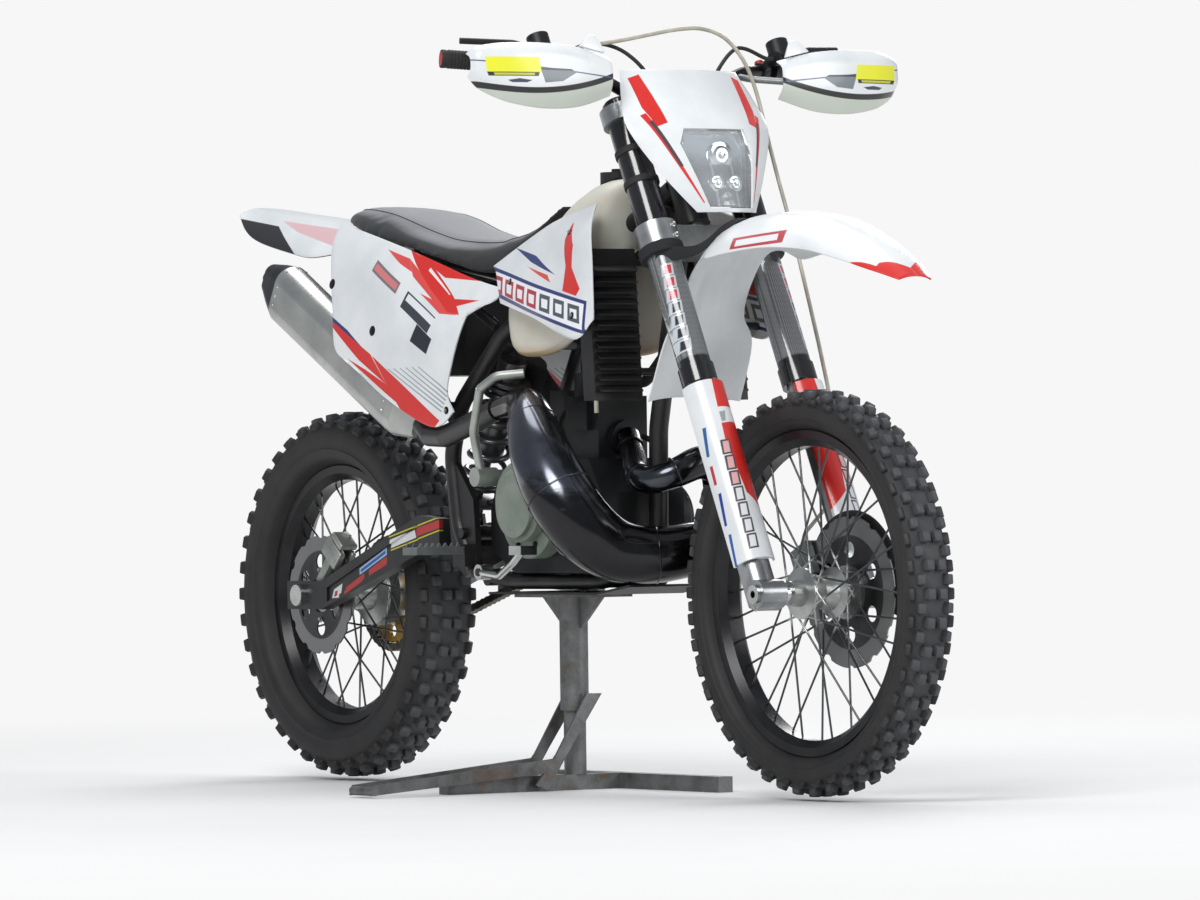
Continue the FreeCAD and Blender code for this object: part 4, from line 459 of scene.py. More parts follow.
# %% Shroud graphics
shroud = white_skin("shroud_white")
patches(
    shroud, RED, "xz",
    ((222, 1003), (228, 1000), (270, 961), (226, 970)),
    ((226, 972), (270, 962), (274, 921), (250, 926)),
    ((250, 927), (274, 922), (309, 884), (299, 872), (249, 882)))
patches(
    shroud, BLUE, "xz",
    ((10, 966), (112, 948), (215, 911), (99, 937)),
    ((-75, 938), (335, 862), (335, 804), (-45, 884)))
patches(shroud, SOFT_RED, "xz", ((88, 930), (184, 912), (200, 898)))
patches(shroud, PALE, "xz", ((-66, 930), (327, 857), (327, 812), (-38, 890)))
for k in range(7):
    left = -45 + k * 53
    high = 920 - k * 9.9
    patches(shroud, tint(176, 44, 62) if k < 4 else tint(74, 84, 92), "xz", (
        (left, high), (left + 40, high - 7), (left + 46, high - 38), (left + 6, high - 30)))
    patches(shroud, PALE, "xz", (
        (left + 9, high - 9), (left + 33, high - 13), (left + 36, high - 29),
        (left + 14, high - 25)))
dress(shroud, "shrouds")
print("shroud graphics laid")

# %% [markdown]
# ## Mask and mudguard graphics
# The mask has a red flash and a thin red line on each side. The front mudguard's tip is
# edged in red, and an outlined plate lies on its side. The rear mudguard is white on top,
# and its underside, where its normal points down, carries painted shade in black.

# %% Mask and mudguard graphics
mask_skin = white_skin("mask_white")
patches(mask_skin, RED, "az", ((117, 1249), (97, 1256), (86, 1169), (105, 1162), (117, 1195)))
stripes(mask_skin, RED, "az", ((120, 1184), (52, 1028), 11, 2))
stripes(mask_skin, tint(74, 60, 66), "az", ((112, 1172), (78, 1092), 7, 5))
dress(mask_skin, "headlight_mask")

fender = white_skin("front_fender_white")
patches(
    fender, RED, "xa",
    ((905, 84), (990, 84), (990, 44), (960, 60)),
    ((990, 84), (1036, 84), (1036, 0), (1016, 0), (985, 42)))
patches(fender, tint(178, 60, 66), "xz", ((620, 962), (760, 972), (770, 950), (630, 942)))
patches(fender, WHITE, "xz", ((634, 958), (745, 966), (752, 955), (640, 947)))
dress(fender, "front_fender")

tail = white_skin("rear_fender_white")
patches(tail, tint(214, 178, 180), "xz", (
    (-900, 1046), (-700, 1024), (-600, 994), (-660, 990), (-820, 1022)))
patches(tail, BLACK, "xz", ((-1080, 1060), (-900, 1036), (-760, 970), (-1080, 970)))
# painted shade: the faces that point down are painted black
recolour(tail, tail.step(0 - upwards(tail), 0.3, 0.05), BLACK)
dress(tail, "rear_fender")
print("mask and mudguard graphics laid")

# %% [markdown]
# ## Fork guard graphics
# The inner half of each guard's front is red down to a point, with a white and grey break.
# A row of outlined plates runs down its middle, and four short blocks down its outer side.

# %% Fork guard graphics
guard = white_skin("fork_guard_white")
patches(guard, RED, "al", (
    (70, 400), (108, 400), (112, 342), (115, 284), (104, 182), (70, 150)))
patches(guard, WHITE, "al", ((70, 348), (118, 345), (118, 314), (70, 320)))
patches(guard, GREY_LINE, "al", ((99, 338), (112, 336), (112, 317), (104, 319)))


def plate_row(paint, start, stop, step, rim, face, red_face):
    """Seven outlined plates along the fork, the upper three with a red face."""
    half = 8.5
    for k in range(7):
        across = start[0] + (stop[0] - start[0]) * (k / 6)
        up = start[1] + (stop[1] - start[1]) * (k / 6)
        for inset, tone in ((0, rim), (half * 0.38, red_face if k < 3 else face)):
            wide, tall = half - inset, step / 2 - inset
            patches(paint, tone, "al", (
                (across - wide - 1, up + tall), (across + wide - 1, up + tall),
                (across + wide + 1, up - tall), (across - wide + 1, up - tall)))


plate_row(guard, (116.5, 270), (118.5, 92), 27.5, tint(74, 66, 72), tint(222, 224, 226),
          tint(224, 170, 170))
OUTER_SIDE = 0.128  # metres from the middle plane
outer_side = guard.step(guard.axis("a"), OUTER_SIDE)
for first, last, tone in (
    ((602, 638), (618, 588), tint(44, 92, 150)),
    ((626, 572), (640, 540), tint(178, 52, 60)),
    ((650, 526), (670, 470), tint(36, 56, 140)),
    ((680, 456), (700, 400), tint(40, 84, 160)),
):
    recolour(guard, band(guard, first, last, 6.2) & outer_side, tone)
dress(guard, "fork_guards")
print("fork guard graphics laid")

# %% [markdown]
# ## Plain finishes
# Cast alloy is dull and speckled, turned alloy is brighter with fine lines, and rubber and
# moulded plastic are almost black. One row per finish gives its two tones, its roughness,
# its wear, and the solids that it dresses.

# %% Plain finishes
FINISHES = (
    ("cast_alloy", (142, 146, 146), (108, 112, 112), 0.5,
     dict(cloud=14, grain=900, depth=0.00025, Metallic=0.85),
     "front_caliper handguard_frames side_stand footpegs shift_lever"),
    ("engine_black", (38, 39, 41), (24, 25, 26), 0.46,
     dict(cloud=12, grain=700, depth=0.0003, Metallic=0.5),
     "crankcase cylinder controls ignition_cover"),
    ("cover_magnesium", (138, 148, 138), (112, 122, 112), 0.5,
     dict(cloud=10, grain=700, depth=0.00015, Metallic=0.35), "clutch_cover"),
    ("turned_alloy", (188, 190, 190), (150, 153, 154), 0.3,
     dict(cloud=22, grain=500, scratch=(1, 8, 1), Metallic=0.9), "top_clamp lower_clamp"),
    ("bright_cast", (178, 182, 176), (140, 144, 138), 0.42,
     dict(cloud=14, grain=900, depth=0.0002, Metallic=0.8), "kick_lever rear_caliper"),
    ("polished_steel", (206, 208, 206), (170, 172, 170), 0.2, dict(cloud=16, Metallic=1.0),
     "brake_pedal front_axle rear_axle"),
    ("ground_steel", (150, 150, 150), (104, 103, 101), 0.34,
     dict(cloud=20, grain=480, Metallic=1.0), "front_sprocket"),
    ("gold_alloy", (176, 140, 70), (120, 92, 46), 0.36, dict(cloud=20, Metallic=0.9),
     "rear_sprocket"),
    ("chain_steel", (104, 98, 86), (56, 52, 46), 0.42, dict(cloud=40, grain=300, Metallic=0.9),
     "chain"),
    ("black_anodised", (20, 20, 22), (36, 36, 39), 0.3, dict(cloud=16, grain=700, Metallic=0.4),
     "front_rim rear_rim handlebar"),
    ("black_paint", (17, 17, 19), (40, 39, 38), 0.42, dict(cloud=13, grain=500), "main_frame"),
    ("dark_alloy", (66, 68, 70), (46, 48, 50), 0.45, dict(cloud=15, Metallic=0.7), "subframe"),
    ("fork_leg_alloy", (176, 178, 180), (140, 142, 145), 0.3, dict(cloud=18, Metallic=0.95),
     "fork_lower_legs"),
    ("moulded_rubber", (24, 24, 25), (40, 39, 38), 0.7, dict(cloud=12, grain=800, depth=0.0003),
     "grips carburettor control_lines radiator_hoses"),
    ("black_plastic", (22, 22, 23), (38, 38, 39), 0.55, dict(cloud=9, grain=700, depth=0.0002),
     "airbox skid_plate tank_cap"),
    ("radiator_black", (16, 16, 17), (30, 30, 31), 0.5, dict(cloud=16, grain=600), "radiators"),
    ("pale_hose", (176, 172, 158), (140, 136, 124), 0.4, dict(cloud=30, grain=900), "brake_hose"),
    ("shock_steel", (110, 110, 112), (70, 70, 72), 0.35, dict(Metallic=0.8), "shock_absorber"),
    ("seat_cover", (40, 41, 44), (30, 31, 33), 0.7, dict(cloud=14, grain=900), "seat"),
    ("handguard_white", (224, 227, 228), (206, 210, 212), 0.3,
     dict(cloud=7, grain=420, depth=0.00006), "handguards"),
    ("lens_clear", (226, 232, 236), (206, 214, 220), 0.08, dict(), "headlight_lens"),
    ("pipe_steel", (74, 76, 84), (40, 40, 44), 0.3, dict(cloud=18, grain=380, Metallic=0.9),
     "exhaust_pipe"),
    ("zinc_fastener", (196, 196, 192), (150, 148, 142), 0.3, dict(cloud=40, Metallic=1.0), ""),
    ("black_fastener", (46, 46, 48), (28, 28, 30), 0.36, dict(cloud=40, Metallic=0.8), ""),
)
finish = {}
for name, light_tone, dark_tone, roughness, wear, dressed in FINISHES:
    finish[name] = worn(name, tint(*light_tone), tint(*dark_tone), roughness, **wear)
    dress(finish[name], *dressed.split())
print("plain finishes:", len(finish))

# %% [markdown]
# ## Hubs and discs
# A hub is bright alloy, and its node holds the spokes too, which are darker. A mask by the
# distance from the axle tells them apart. The same distance gives a disc its swept ring,
# with the fine circles that the pads grind into it.


# %% Hubs and discs
def away_from(paint, axle):
    """How far a point is from a wheel's axle, in metres."""
    offset = paint.node("ShaderNodeVectorMath", {0: paint.place, 1: Vector(axle) * MM},
                        operation="SUBTRACT")
    flat = paint.node("ShaderNodeVectorMath", {0: offset, 1: (1, 0, 1)}, operation="MULTIPLY")
    return paint.node("ShaderNodeVectorMath", {0: flat}, out="Value", operation="LENGTH")


HUB_REACH = 0.066  # metres from the axle to where the spokes begin
for name, axle, swept in (("front", FRONT_AXLE, 0.098), ("rear", REAR_AXLE, 0.082)):
    hub = worn(name + "_hub_alloy", tint(186, 188, 186), tint(146, 148, 146), 0.32, cloud=24,
               Metallic=0.9)
    recolour(hub, hub.step(away_from(hub, axle), HUB_REACH, 0.004), tint(84, 86, 88))
    dress(hub, name + "_hub")
    rotor = worn(name + "_disc_steel", tint(74, 74, 76), tint(52, 52, 54), 0.34, cloud=20,
                 grain=480, Metallic=0.9)
    reach = away_from(rotor, axle)
    rings = rotor.maths("SINE", reach * 5200.0) * 0.5 + 0.5
    recolour(rotor, rotor.step(reach, swept, 0.001) * (0.55 + rings * 0.3), tint(150, 150, 150))
    dress(rotor, name + "_disc")
print("hubs and discs dressed")

# %% [markdown]
# ## Swingarm and fork tubes
# The swingarm is black with small labels on its outer faces only. The fork tubes are
# glossy black under a woven wrap: two sine waves, one across the other, give its twill.

# %% Swingarm and fork tubes
arm = worn("swingarm_black", tint(20, 21, 22), tint(40, 40, 39), 0.4, cloud=13, grain=500)
ARM_SIDE = 0.112  # metres from the middle plane to where the outer faces begin
outer_faces = arm.step(arm.axis("a"), ARM_SIDE, 0.001)
for tone, outlines in (
    (tint(206, 208, 206), (
        ((-643, 341), (-635, 357), (-606, 368), (-613, 342)),
        ((-435, 448), (-356, 466), (-352, 452), (-437, 433)))),
    (tint(170, 42, 42), (
        ((-636, 344), (-631, 354), (-622, 355), (-626, 343)),
        ((-594, 361), (-530, 387), (-530, 373), (-594, 348)),
        ((-514, 393), (-452, 418), (-452, 404), (-514, 380)),
        ((-350, 468), (-268, 484), (-268, 469), (-351, 453)))),
    (tint(150, 180, 210), (((-546, 396), (-452, 434), (-452, 421), (-546, 384)),)),
    (tint(32, 76, 150), (((-542, 394), (-456, 429), (-456, 423), (-542, 388)),)),
):
    for corners in outlines:
        recolour(arm, patch(arm, corners) & outer_faces, tone)
for first, last in (((-438, 453), (-268, 489)), ((-438, 429), (-268, 465))):
    recolour(arm, band(arm, first, last, 2.2) & outer_faces, tint(196, 190, 40))
dress(arm, "swingarm")

fork_black = worn("fork_tube_black", tint(15, 15, 17), tint(26, 26, 29), 0.16, cloud=10,
                  Coat_Weight=0.6, Coat_Roughness=0.08)
along_leg = fork_black.axis("l")
ahead_leg = fork_black.x * STEER_AHEAD.x + fork_black.z * STEER_AHEAD.z
weave = fork_black.maths("SINE", (along_leg + fork_black.y) * 1300.0)
weave = weave * fork_black.maths("SINE", (along_leg - fork_black.y + ahead_leg) * 1300.0)
twill = fork_black.mix(fork_black.step(weave, 0, 0.4), tint(70, 72, 74), tint(132, 134, 136))
WRAP_FROM, WRAP_TO = 0.452, 0.664  # metres along the fork
wrapped = fork_black.step(along_leg, WRAP_FROM, 0.002)
wrapped = wrapped & fork_black.step(WRAP_TO - along_leg, 0, 0.002)
recolour(fork_black, wrapped, twill)
plate_row(fork_black, (121, 618), (127, 474), 22.5, tint(196, 202, 206), tint(40, 46, 54),
          tint(196, 60, 74))
dress(fork_black, "fork_outer_tubes")
print("swingarm and fork tubes dressed")

# %% [markdown]
# ## Stand, silencer and tank
# The stand is galvanised, with rust where the noise runs high. The silencer has a brushed
# body between a grey front cap and a dark end cap, found by the distance along its axis.
# The tank's milky plastic is stained amber at the bottom by fuel.

# %% Stand, silencer and tank
galvanised = worn("stand_steel", tint(128, 130, 130), tint(94, 94, 92), 0.5, cloud=24, grain=260,
                  depth=0.0003, Metallic=0.75)
rust = galvanised.step(galvanised.noise(16.0, 6.0), 0.62, 0.05)
recolour(galvanised, rust * 0.5, tint(112, 84, 62))
dress(galvanised, "stand_base", "stand_post", "stand_lever")
can = worn("silencer_alloy", tint(186, 188, 184), tint(158, 160, 158), 0.34, cloud=12, grain=420,
           scratch=(1, 1, 10), Metallic=0.85)
FRONT_CAP, REAR_CAP = 0.012, 0.534  # metres along the silencer
can_along = can.along(SILENCER_FRONT, SILENCER_WAY)
recolour(can, can.step(can_along, REAR_CAP, 0.001), tint(54, 54, 56))
recolour(can, can.step(FRONT_CAP - can_along, 0, 0.001), tint(84, 84, 84))
dress(can, "silencer")
FUEL_LEVEL = 0.782
tank_skin = worn("tank_plastic", tint(222, 220, 208), tint(206, 202, 186), 0.42, cloud=6,
                 Subsurface_Weight=0.15)
recolour(tank_skin, tank_skin.step(FUEL_LEVEL - tank_skin.z, 0, 0.012), tint(190, 160, 108))
dress(tank_skin, "fuel_tank")
print("solids dressed:", sum(1 for o in nodes.values() if o.data.materials))

# %% [markdown]
# ## Making new pieces
# Some shapes are softer or finer than a solid in the frame: a moulded panel, a hydroformed
# exhaust, a tyre with its knobs. They are built from bmesh operators, in millimetres, and
# handed to `place`, which smooths the mesh up to a crease angle, gives thin sheets their
# wall and ties the piece to the body that carries it.


# %% Placing a piece
def place(name, shape, paint, body, slot, stands_for=(), crease=38, wall=0.0, edge=0.0):
    """Makes a mesh object of the shape, finishes it and ties it to its body."""
    if not wall:
        bmesh.ops.recalc_face_normals(shape, faces=shape.faces[:])
    mesh = bpy.data.meshes.new(name)
    shape.to_mesh(mesh)
    shape.free()
    mesh.polygons.foreach_set("use_smooth", [True] * len(mesh.polygons))
    mesh.set_sharp_from_angle(angle=math.radians(crease))
    mesh.materials.append(paint.material)
    thing = bpy.data.objects.new(name, mesh)
    bpy.context.scene.collection.objects.link(thing)
    if wall:
        thick = thing.modifiers.new("wall", "SOLIDIFY")
        thick.thickness = wall * MM
        thick.offset = -1
    if edge:
        rounded = thing.modifiers.new("edge", "BEVEL")
        rounded.width = edge * MM
        rounded.segments = 2
        rounded.limit_method = "ANGLE"
        rounded.angle_limit = math.radians(50)
    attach(thing, body)
    if stands_for:
        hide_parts(*stands_for)
    return thing


print("place is ready")

# %% [markdown]
# ## Sheets and lofts
# `curve_through` gives a smooth line through a few stations. A sheet is a grid of points
# with such lines both ways, and a loft is a closed skin through loops of equal length.


# %% Sheets and lofts
def curve_through(stations, steps):
    """Stations on a smooth curve through the given ones, each a tuple of numbers."""
    last = len(stations) - 1
    found = []
    for k in range(last):
        a, b, c, d = (stations[min(max(k + j, 0), last)] for j in (-1, 0, 1, 2))
        for s in range(steps):
            t = s / steps
            found.append(tuple(
                q + 0.5 * t * (r - p + t * (2 * p - 5 * q + 4 * r - u + t * (3 * (q - r) + u - p)))
                for p, q, r, u in zip(a, b, c, d)))
    return found + [tuple(stations[-1])]


def grid_of(rows, facing):
    """A sheet through rows of points in mm, its face towards a direction."""
    shape = bmesh.new()
    wide, tall = len(rows[0]) - 1, len(rows) - 1
    bmesh.ops.create_grid(shape, x_segments=wide, y_segments=tall, size=1)
    for v in shape.verts:
        row = rows[round((v.co.y + 1) / 2 * tall)]
        v.co = Vector(row[round((v.co.x + 1) / 2 * wide)]) * MM
    shape.normal_update()
    if sum(f.normal.dot(Vector(facing)) for f in shape.faces) < 0:
        bmesh.ops.reverse_faces(shape, faces=shape.faces[:])
    return shape


def sheet_of(rows, along=6, across=6, facing=(0, 0, 1)):
    """A smooth sheet through a coarse grid of points in mm."""
    rows = [curve_through(row, along) for row in rows]
    rows = list(zip(*[curve_through(column, across) for column in zip(*rows)]))
    return grid_of(rows, facing)


def loft(loops):
    """A skin through loops of points in mm, with a lid at both ends."""
    shape = bmesh.new()
    before = []
    for k, loop in enumerate(loops):
        verts = [shape.verts.new(Vector(spot) * MM) for spot in loop]
        edges = [shape.edges.new((verts[j - 1], verts[j])) for j in range(len(verts))]
        if before:
            bmesh.ops.bridge_loops(shape, edges=before + edges)
        if k in (0, len(loops) - 1):
            bmesh.ops.contextual_create(shape, geom=edges)
        before = edges
    return shape


def joined(*shapes):
    """One shape out of several, each then freed."""
    whole = bmesh.new()
    for part in shapes:
        carrier = bpy.data.meshes.new("carrier")
        part.to_mesh(carrier)
        part.free()
        whole.from_mesh(carrier)
        bpy.data.meshes.remove(carrier)
    return whole


print("sheet helpers ready")

# %% [markdown]
# ## Tubes and boxes
# A tube is a row of circles bridged along a line, each one turned as little as possible
# from the one before. A box can narrow towards its top, and its edges are softened.


# %% Tubes and boxes
def edges_of(verts):
    """Every edge that ends in one of the given corners."""
    return {e for v in verts for e in v.link_edges}


def soften(shape, edges, width, segments=2):
    """Rounds edges by a width in mm."""
    bmesh.ops.bevel(shape, geom=list(edges), offset=width * MM, segments=segments, profile=0.5,
                    affect="EDGES", clamp_overlap=True, material=-1)


def sweep(shape, stations, sides=24):
    """A tube through stations of x, y, z and radius, closed at both ends."""
    spots = [Vector(s[:3]) * MM for s in stations]
    last = len(spots) - 1
    across = None
    before = set()
    for k, spot in enumerate(spots):
        way = (spots[min(k + 1, last)] - spots[max(k - 1, 0)]).normalized()
        across = way.orthogonal() if across is None else across
        across = (across - way * across.dot(way)).normalized()
        turn = Matrix((across, way.cross(across), way)).transposed().to_4x4()
        made = bmesh.ops.create_circle(
            shape, cap_ends=k in (0, last), radius=stations[k][3] * MM, segments=sides,
            matrix=Matrix.Translation(spot) @ turn)
        loop = edges_of(made["verts"])
        if before:
            bmesh.ops.bridge_loops(shape, edges=list(before) + list(loop))
        before = loop


def block(shape, spot, turn, size, taper=1.0):
    """A box of a size in mm whose top can be smaller than its foot."""
    grow = Matrix.Diagonal((*[v * MM for v in size], 1))
    move = Matrix.Translation(Vector(spot) * MM) @ turn.to_4x4()
    made = bmesh.ops.create_cube(shape, size=1)["verts"]
    for v in made:
        if v.co.z > 0:
            v.co.x *= taper
            v.co.y *= taper
    bmesh.ops.transform(shape, matrix=move @ grow, verts=made)
    return made


print("tube and box helpers ready")

# %% [markdown]
# ## Plugs and bolts
# A round plug gets a bevelled rim where its edge shows. A bolt is a hexagon on a flange,
# with an inset dimple in its head, and most bolts stand in rings.


# %% Plugs and bolts
def facing_to(way):
    """The turn that points a shape's own +Z along a way."""
    return Vector(way).to_track_quat("Z", "Y").to_matrix().to_4x4()


def disc(shape, foot, way, radius, height, sides=32, top=None, bevel=0.0):
    """A round plug from its foot along a way, with a rounded rim if asked."""
    way = Vector(way).normalized()
    middle = (Vector(foot) + way * height / 2) * MM
    made = bmesh.ops.create_cone(
        shape, cap_ends=True, segments=sides, radius1=radius * MM,
        radius2=(radius if top is None else top) * MM, depth=height * MM,
        matrix=Matrix.Translation(middle) @ facing_to(way))
    if bevel:
        rim = {e for e in edges_of(made["verts"])
               if len(e.link_faces) == 2 and max(len(f.verts) for f in e.link_faces) > 4}
        soften(shape, rim, bevel)


def bolt(shape, foot, way, radius=5.0, flange=True):
    """A hexagon head on its flange, with a dimple in the top."""
    way = Vector(way).normalized()
    foot = Vector(foot)
    if flange:
        disc(shape, foot - way, way, radius * 1.45, 2.4, 20, bevel=0.5)
    spot = (foot + way * radius * 0.6) * MM
    head = bmesh.ops.create_cone(
        shape, cap_ends=True, segments=6, radius1=radius * MM, radius2=radius * 0.96 * MM,
        depth=radius * 0.9 * MM, matrix=Matrix.Translation(spot) @ facing_to(way))
    tops = {f for v in head["verts"] for f in v.link_faces if f.normal.dot(way) > 0.9}
    bmesh.ops.inset_individual(shape, faces=list(tops), thickness=radius * 0.3 * MM)
    for f in tops:
        for v in f.verts:
            v.co -= way * radius * 0.15 * MM


def bolt_ring(shape, centre, half_sizes, way, count, phase, radius):
    """Bolts round a centre, in a ring that is round or a little oval."""
    for k in range(count):
        turn = 2 * math.pi * (k + phase) / count
        over, up = half_sizes[0] * math.cos(turn), half_sizes[1] * math.sin(turn)
        out = Vector((over, up, 0) if way[2] else (over, 0, up))
        bolt(shape, Vector(centre) + out, way, radius)


SIDES = (-1, 1)
print("plug and bolt helpers ready")

# %% [markdown]
# ## Side panels and tank shrouds
# On the real bike these are thin injection mouldings that bow outwards between their
# fixings. A grid of a few measured points, joined by smooth curves both ways, gives that
# bow, and a solidify modifier gives the wall. The graphics are read from side view, so
# both sides carry the same ones.

# %% Side panels and shrouds
PANEL_ROWS = (
    ((-600, -112, 1032), (-337, -133, 974), (-150, -122, 918), (-40, -128, 896)),
    ((-590, -140, 980), (-380, -158, 920), (-190, -152, 860), (-45, -138, 876)),
    ((-545, -168, 860), (-390, -174, 820), (-195, -170, 800), (-120, -152, 846)),
    ((-522, -177, 796), (-390, -177, 745), (-225, -174, 700), (-158, -170, 726)),
    ((-470, -177, 770), (-355, -177, 706), (-205, -174, 651), (-138, -170, 677)),
)
SHROUD_ROWS = (
    ((243, -112, 1036), (326, -182, 989), (340, -190, 925), (356, -199, 838), (350, -197, 826)),
    ((150, -128, 1012), (240, -174, 965), (262, -188, 905), (286, -203, 815), (296, -200, 796)),
    ((68, -130, 985), (120, -154, 950), (130, -172, 908), (140, -184, 862), (150, -184, 836)),
    ((-60, -132, 935), (-40, -140, 925), (-30, -144, 908), (-20, -148, 890), (-12, -150, 868)),
)


def both_skins(rows, along, across):
    """The right-hand sheet and its mirror image in one shape."""
    return joined(*(
        sheet_of([[(x, y * side, z) for x, y, z in row] for row in rows], along, across,
                 (0, -side, 0))
        for side in (1, -1)))


place("side_panel_skins", both_skins(PANEL_ROWS, 10, 7), panel, "chassis", "white_plastic",
      ("side_panels",), wall=3, edge=0.9)
place("shroud_skins", both_skins(SHROUD_ROWS, 6, 8), shroud, "chassis", "white_plastic",
      ("shrouds",), wall=3, edge=0.9, crease=30)
print("panels and shrouds placed")

# %% [markdown]
# ## Mudguards
# A mudguard is one arched sheet, stiffened by turned-down edges and two shallow ridges
# that rise and die away along its length. Each station gives the crown's place, the half
# width and how far the edge drops.

# %% Mudguards
FRONT_FENDER = (
    (1034, 887, 34, 8), (985, 922, 62, 24), (920, 957, 78, 38), (830, 991, 90, 52),
    (720, 1008, 98, 62), (610, 1005, 104, 66), (535, 985, 104, 56), (500, 962, 70, 20),
    (448, 912, 68, 16), (412, 846, 70, 16), (392, 796, 94, 26), (352, 695, 98, 22),
)
REAR_FENDER = (
    (-1059, 1077, 52, 14), (-1000, 1074, 74, 40), (-926, 1066, 88, 56), (-800, 1052, 100, 66),
    (-700, 1038, 108, 66), (-600, 1018, 100, 40),
)
EDGE_POWER = 2.3


def mudguard(stations, spine):
    """A smooth arched sheet through the crown stations."""
    fine = curve_through(stations, 6)
    last = len(fine) - 1
    rows = []
    for k, (x, z, half, drop) in enumerate(fine):
        ahead, behind = fine[min(k + 1, last)], fine[max(k - 1, 0)]
        along = Vector((ahead[0] - behind[0], 0, ahead[1] - behind[1])).normalized()
        up = Vector((-along.z, 0, along.x))
        up = up if up.z > 0 else -up
        rise = spine * math.sin(math.pi * k / last)
        row = []
        for c in range(25):
            share = c / 12 - 1
            sink = drop * abs(share) ** EDGE_POWER
            ridge = rise * (math.exp(-((abs(share) - 0.45) / 0.13) ** 2) - 0.5)
            row.append(Vector((x, half * share, z)) + up * (min(ridge, 0) - sink))
        rows.append(row)
    return grid_of(rows, (0, 0, 1))


place("front_fender_skin", mudguard(FRONT_FENDER, 6), fender, "steering", "white_plastic",
      ("front_fender",), wall=3, edge=0.9, crease=60)
place("rear_fender_skin", mudguard(REAR_FENDER, 5), tail, "chassis", "white_plastic",
      ("rear_fender",), wall=3, edge=0.9, crease=60)
print("mudguards placed")

# %% [markdown]
# ## Lamp mask
# The mask is a shield that curves back at both sides, with a six-cornered window. A cut
# along each of the window's edges leaves clean borders, and the faces inside are deleted.

# %% Lamp mask
MASK_ROWS = (
    (1265, 372, 336, 122), (1215, 415, 365, 140), (1160, 452, 397, 149), (1085, 486, 436, 112),
    (1012, 512, 480, 62),
)
WINDOW = ((-62, 1158), (62, 1158), (74, 1132), (43, 1020), (-43, 1020), (-74, 1132))
WINDOW_MIDDLE = Vector((0, 1090))


def mask_sheet(push, grow, window_kept):
    """The curved shield moved back by push: only its window, or all but its window."""
    rows = []
    for z, middle, edge, half in MASK_ROWS:
        shares = [c / 3 - 1 for c in range(7)]
        rows.append([(middle - (middle - edge) * s * s - push, half * s, z) for s in shares])
    shape = sheet_of(rows, 4, 7, (1, 0, 0))
    borders = []
    for k, first in enumerate(WINDOW):
        run = Vector(WINDOW[(k + 1) % len(WINDOW)]) - Vector(first)
        out = Vector((run.y, -run.x)).normalized()
        out = out if (Vector(first) - WINDOW_MIDDLE).dot(out) > 0 else -out
        spot = Vector(first) + out * grow
        borders.append((spot, out))
        bmesh.ops.bisect_plane(shape, geom=shape.verts[:] + shape.edges[:] + shape.faces[:],
                               plane_co=(0, spot.x * MM, spot.y * MM), plane_no=(0, out.x, out.y))
    unwanted = []
    for face in shape.faces:
        middle = face.calc_center_median().yz / MM
        if all((middle - spot).dot(out) < 0 for spot, out in borders) != window_kept:
            unwanted.append(face)
    bmesh.ops.delete(shape, geom=unwanted, context="FACES")
    return shape


place("mask_skin", mask_sheet(0, 1, False), mask_skin, "steering", "white_plastic",
      ("headlight_mask",), wall=3, edge=0.9, crease=60)
print("mask placed")

# %% [markdown]
# ## Headlight
# The same sheet, moved back and cut down to the window, gives the clear cover and the
# housing behind it. The housing is dark, with a painted sky reflection on its upper part
# and a frame line, and three round bowls stand in it.

# %% Headlight
cover_glass = Paint("lamp_cover", Roughness=0.05, IOR=1.45, Coat_Weight=0.4)
cover_glass.feed("Base Color", cover_glass.mix(cover_glass.noise(30.0), tint(236, 240, 242),
                                               tint(220, 226, 230)))
cover_glass.feed("Alpha", 0.10 + cover_glass.noise(18.0, 4.0) * 0.16)
place("lamp_glass", mask_sheet(3.2, -0.5, True), cover_glass, "steering", "clear_lens", wall=2,
      crease=60)

reflector = worn("lamp_reflector", tint(120, 126, 128), tint(52, 58, 58), 0.16, cloud=34,
                 grain=300, Metallic=1.0)
# painted reflection: the upper part of the housing is painted pale, as the sky seen in it
painted_sky_reflection = reflector.step(reflector.z + reflector.clouds * 0.03, 1.118, 0.016)
recolour(reflector, painted_sky_reflection, tint(214, 222, 226))
frame_line = reflector.step(0.0022 - abs(abs(reflector.y) - 0.021), 0)
recolour(reflector, frame_line & reflector.step(1.10 - reflector.z, 0), tint(206, 212, 214))
cells = reflector.node("ShaderNodeTexVoronoi", {"Vector": reflector.place, "Scale": 90.0})
reflector.bump(cells, 0.0016, 0.5)
place("lamp_housing", mask_sheet(16, -2, True), reflector, "steering", "clear_lens",
      ("headlight_lens",), crease=30, wall=2)

# each bowl: its place across and up, its radius, and how far forward its foot is
LAMP_BOWLS = ((0, 1112, 25, 458), (-19, 1062, 15, 474), (19, 1062, 15, 474))
bowls = bmesh.new()
for y, z, radius, foot in LAMP_BOWLS:
    disc(bowls, (foot - 4, y, z), (1, 0, 0), radius, 11, 40, bevel=2.4)
    disc(bowls, (foot + 6.5, y, z), (1, 0, 0), radius * 0.72, 3.5, 32, top=radius * 0.5)
    disc(bowls, (foot + 9, y, z), (1, 0, 0), radius * 0.26, 4, 20, bevel=1.2)
chrome = worn("lamp_bowl_chrome", tint(214, 220, 222), tint(150, 158, 162), 0.08, cloud=20,
              Metallic=1.0)
place("lamp_bowls", bowls, chrome, "steering", "clear_lens", crease=30)
print("headlight placed")

# %% [markdown]
# ## Expansion chamber
# A two-stroke exhaust is welded from cones rolled out of thin sheet: it swells from the
# cylinder, loops in front of the engine and narrows again to the stinger. Circles swept
# along one smooth line give it, with a radius that changes on the way. Weld beads ring the
# joints, and a raised seam runs along the outside of the belly.

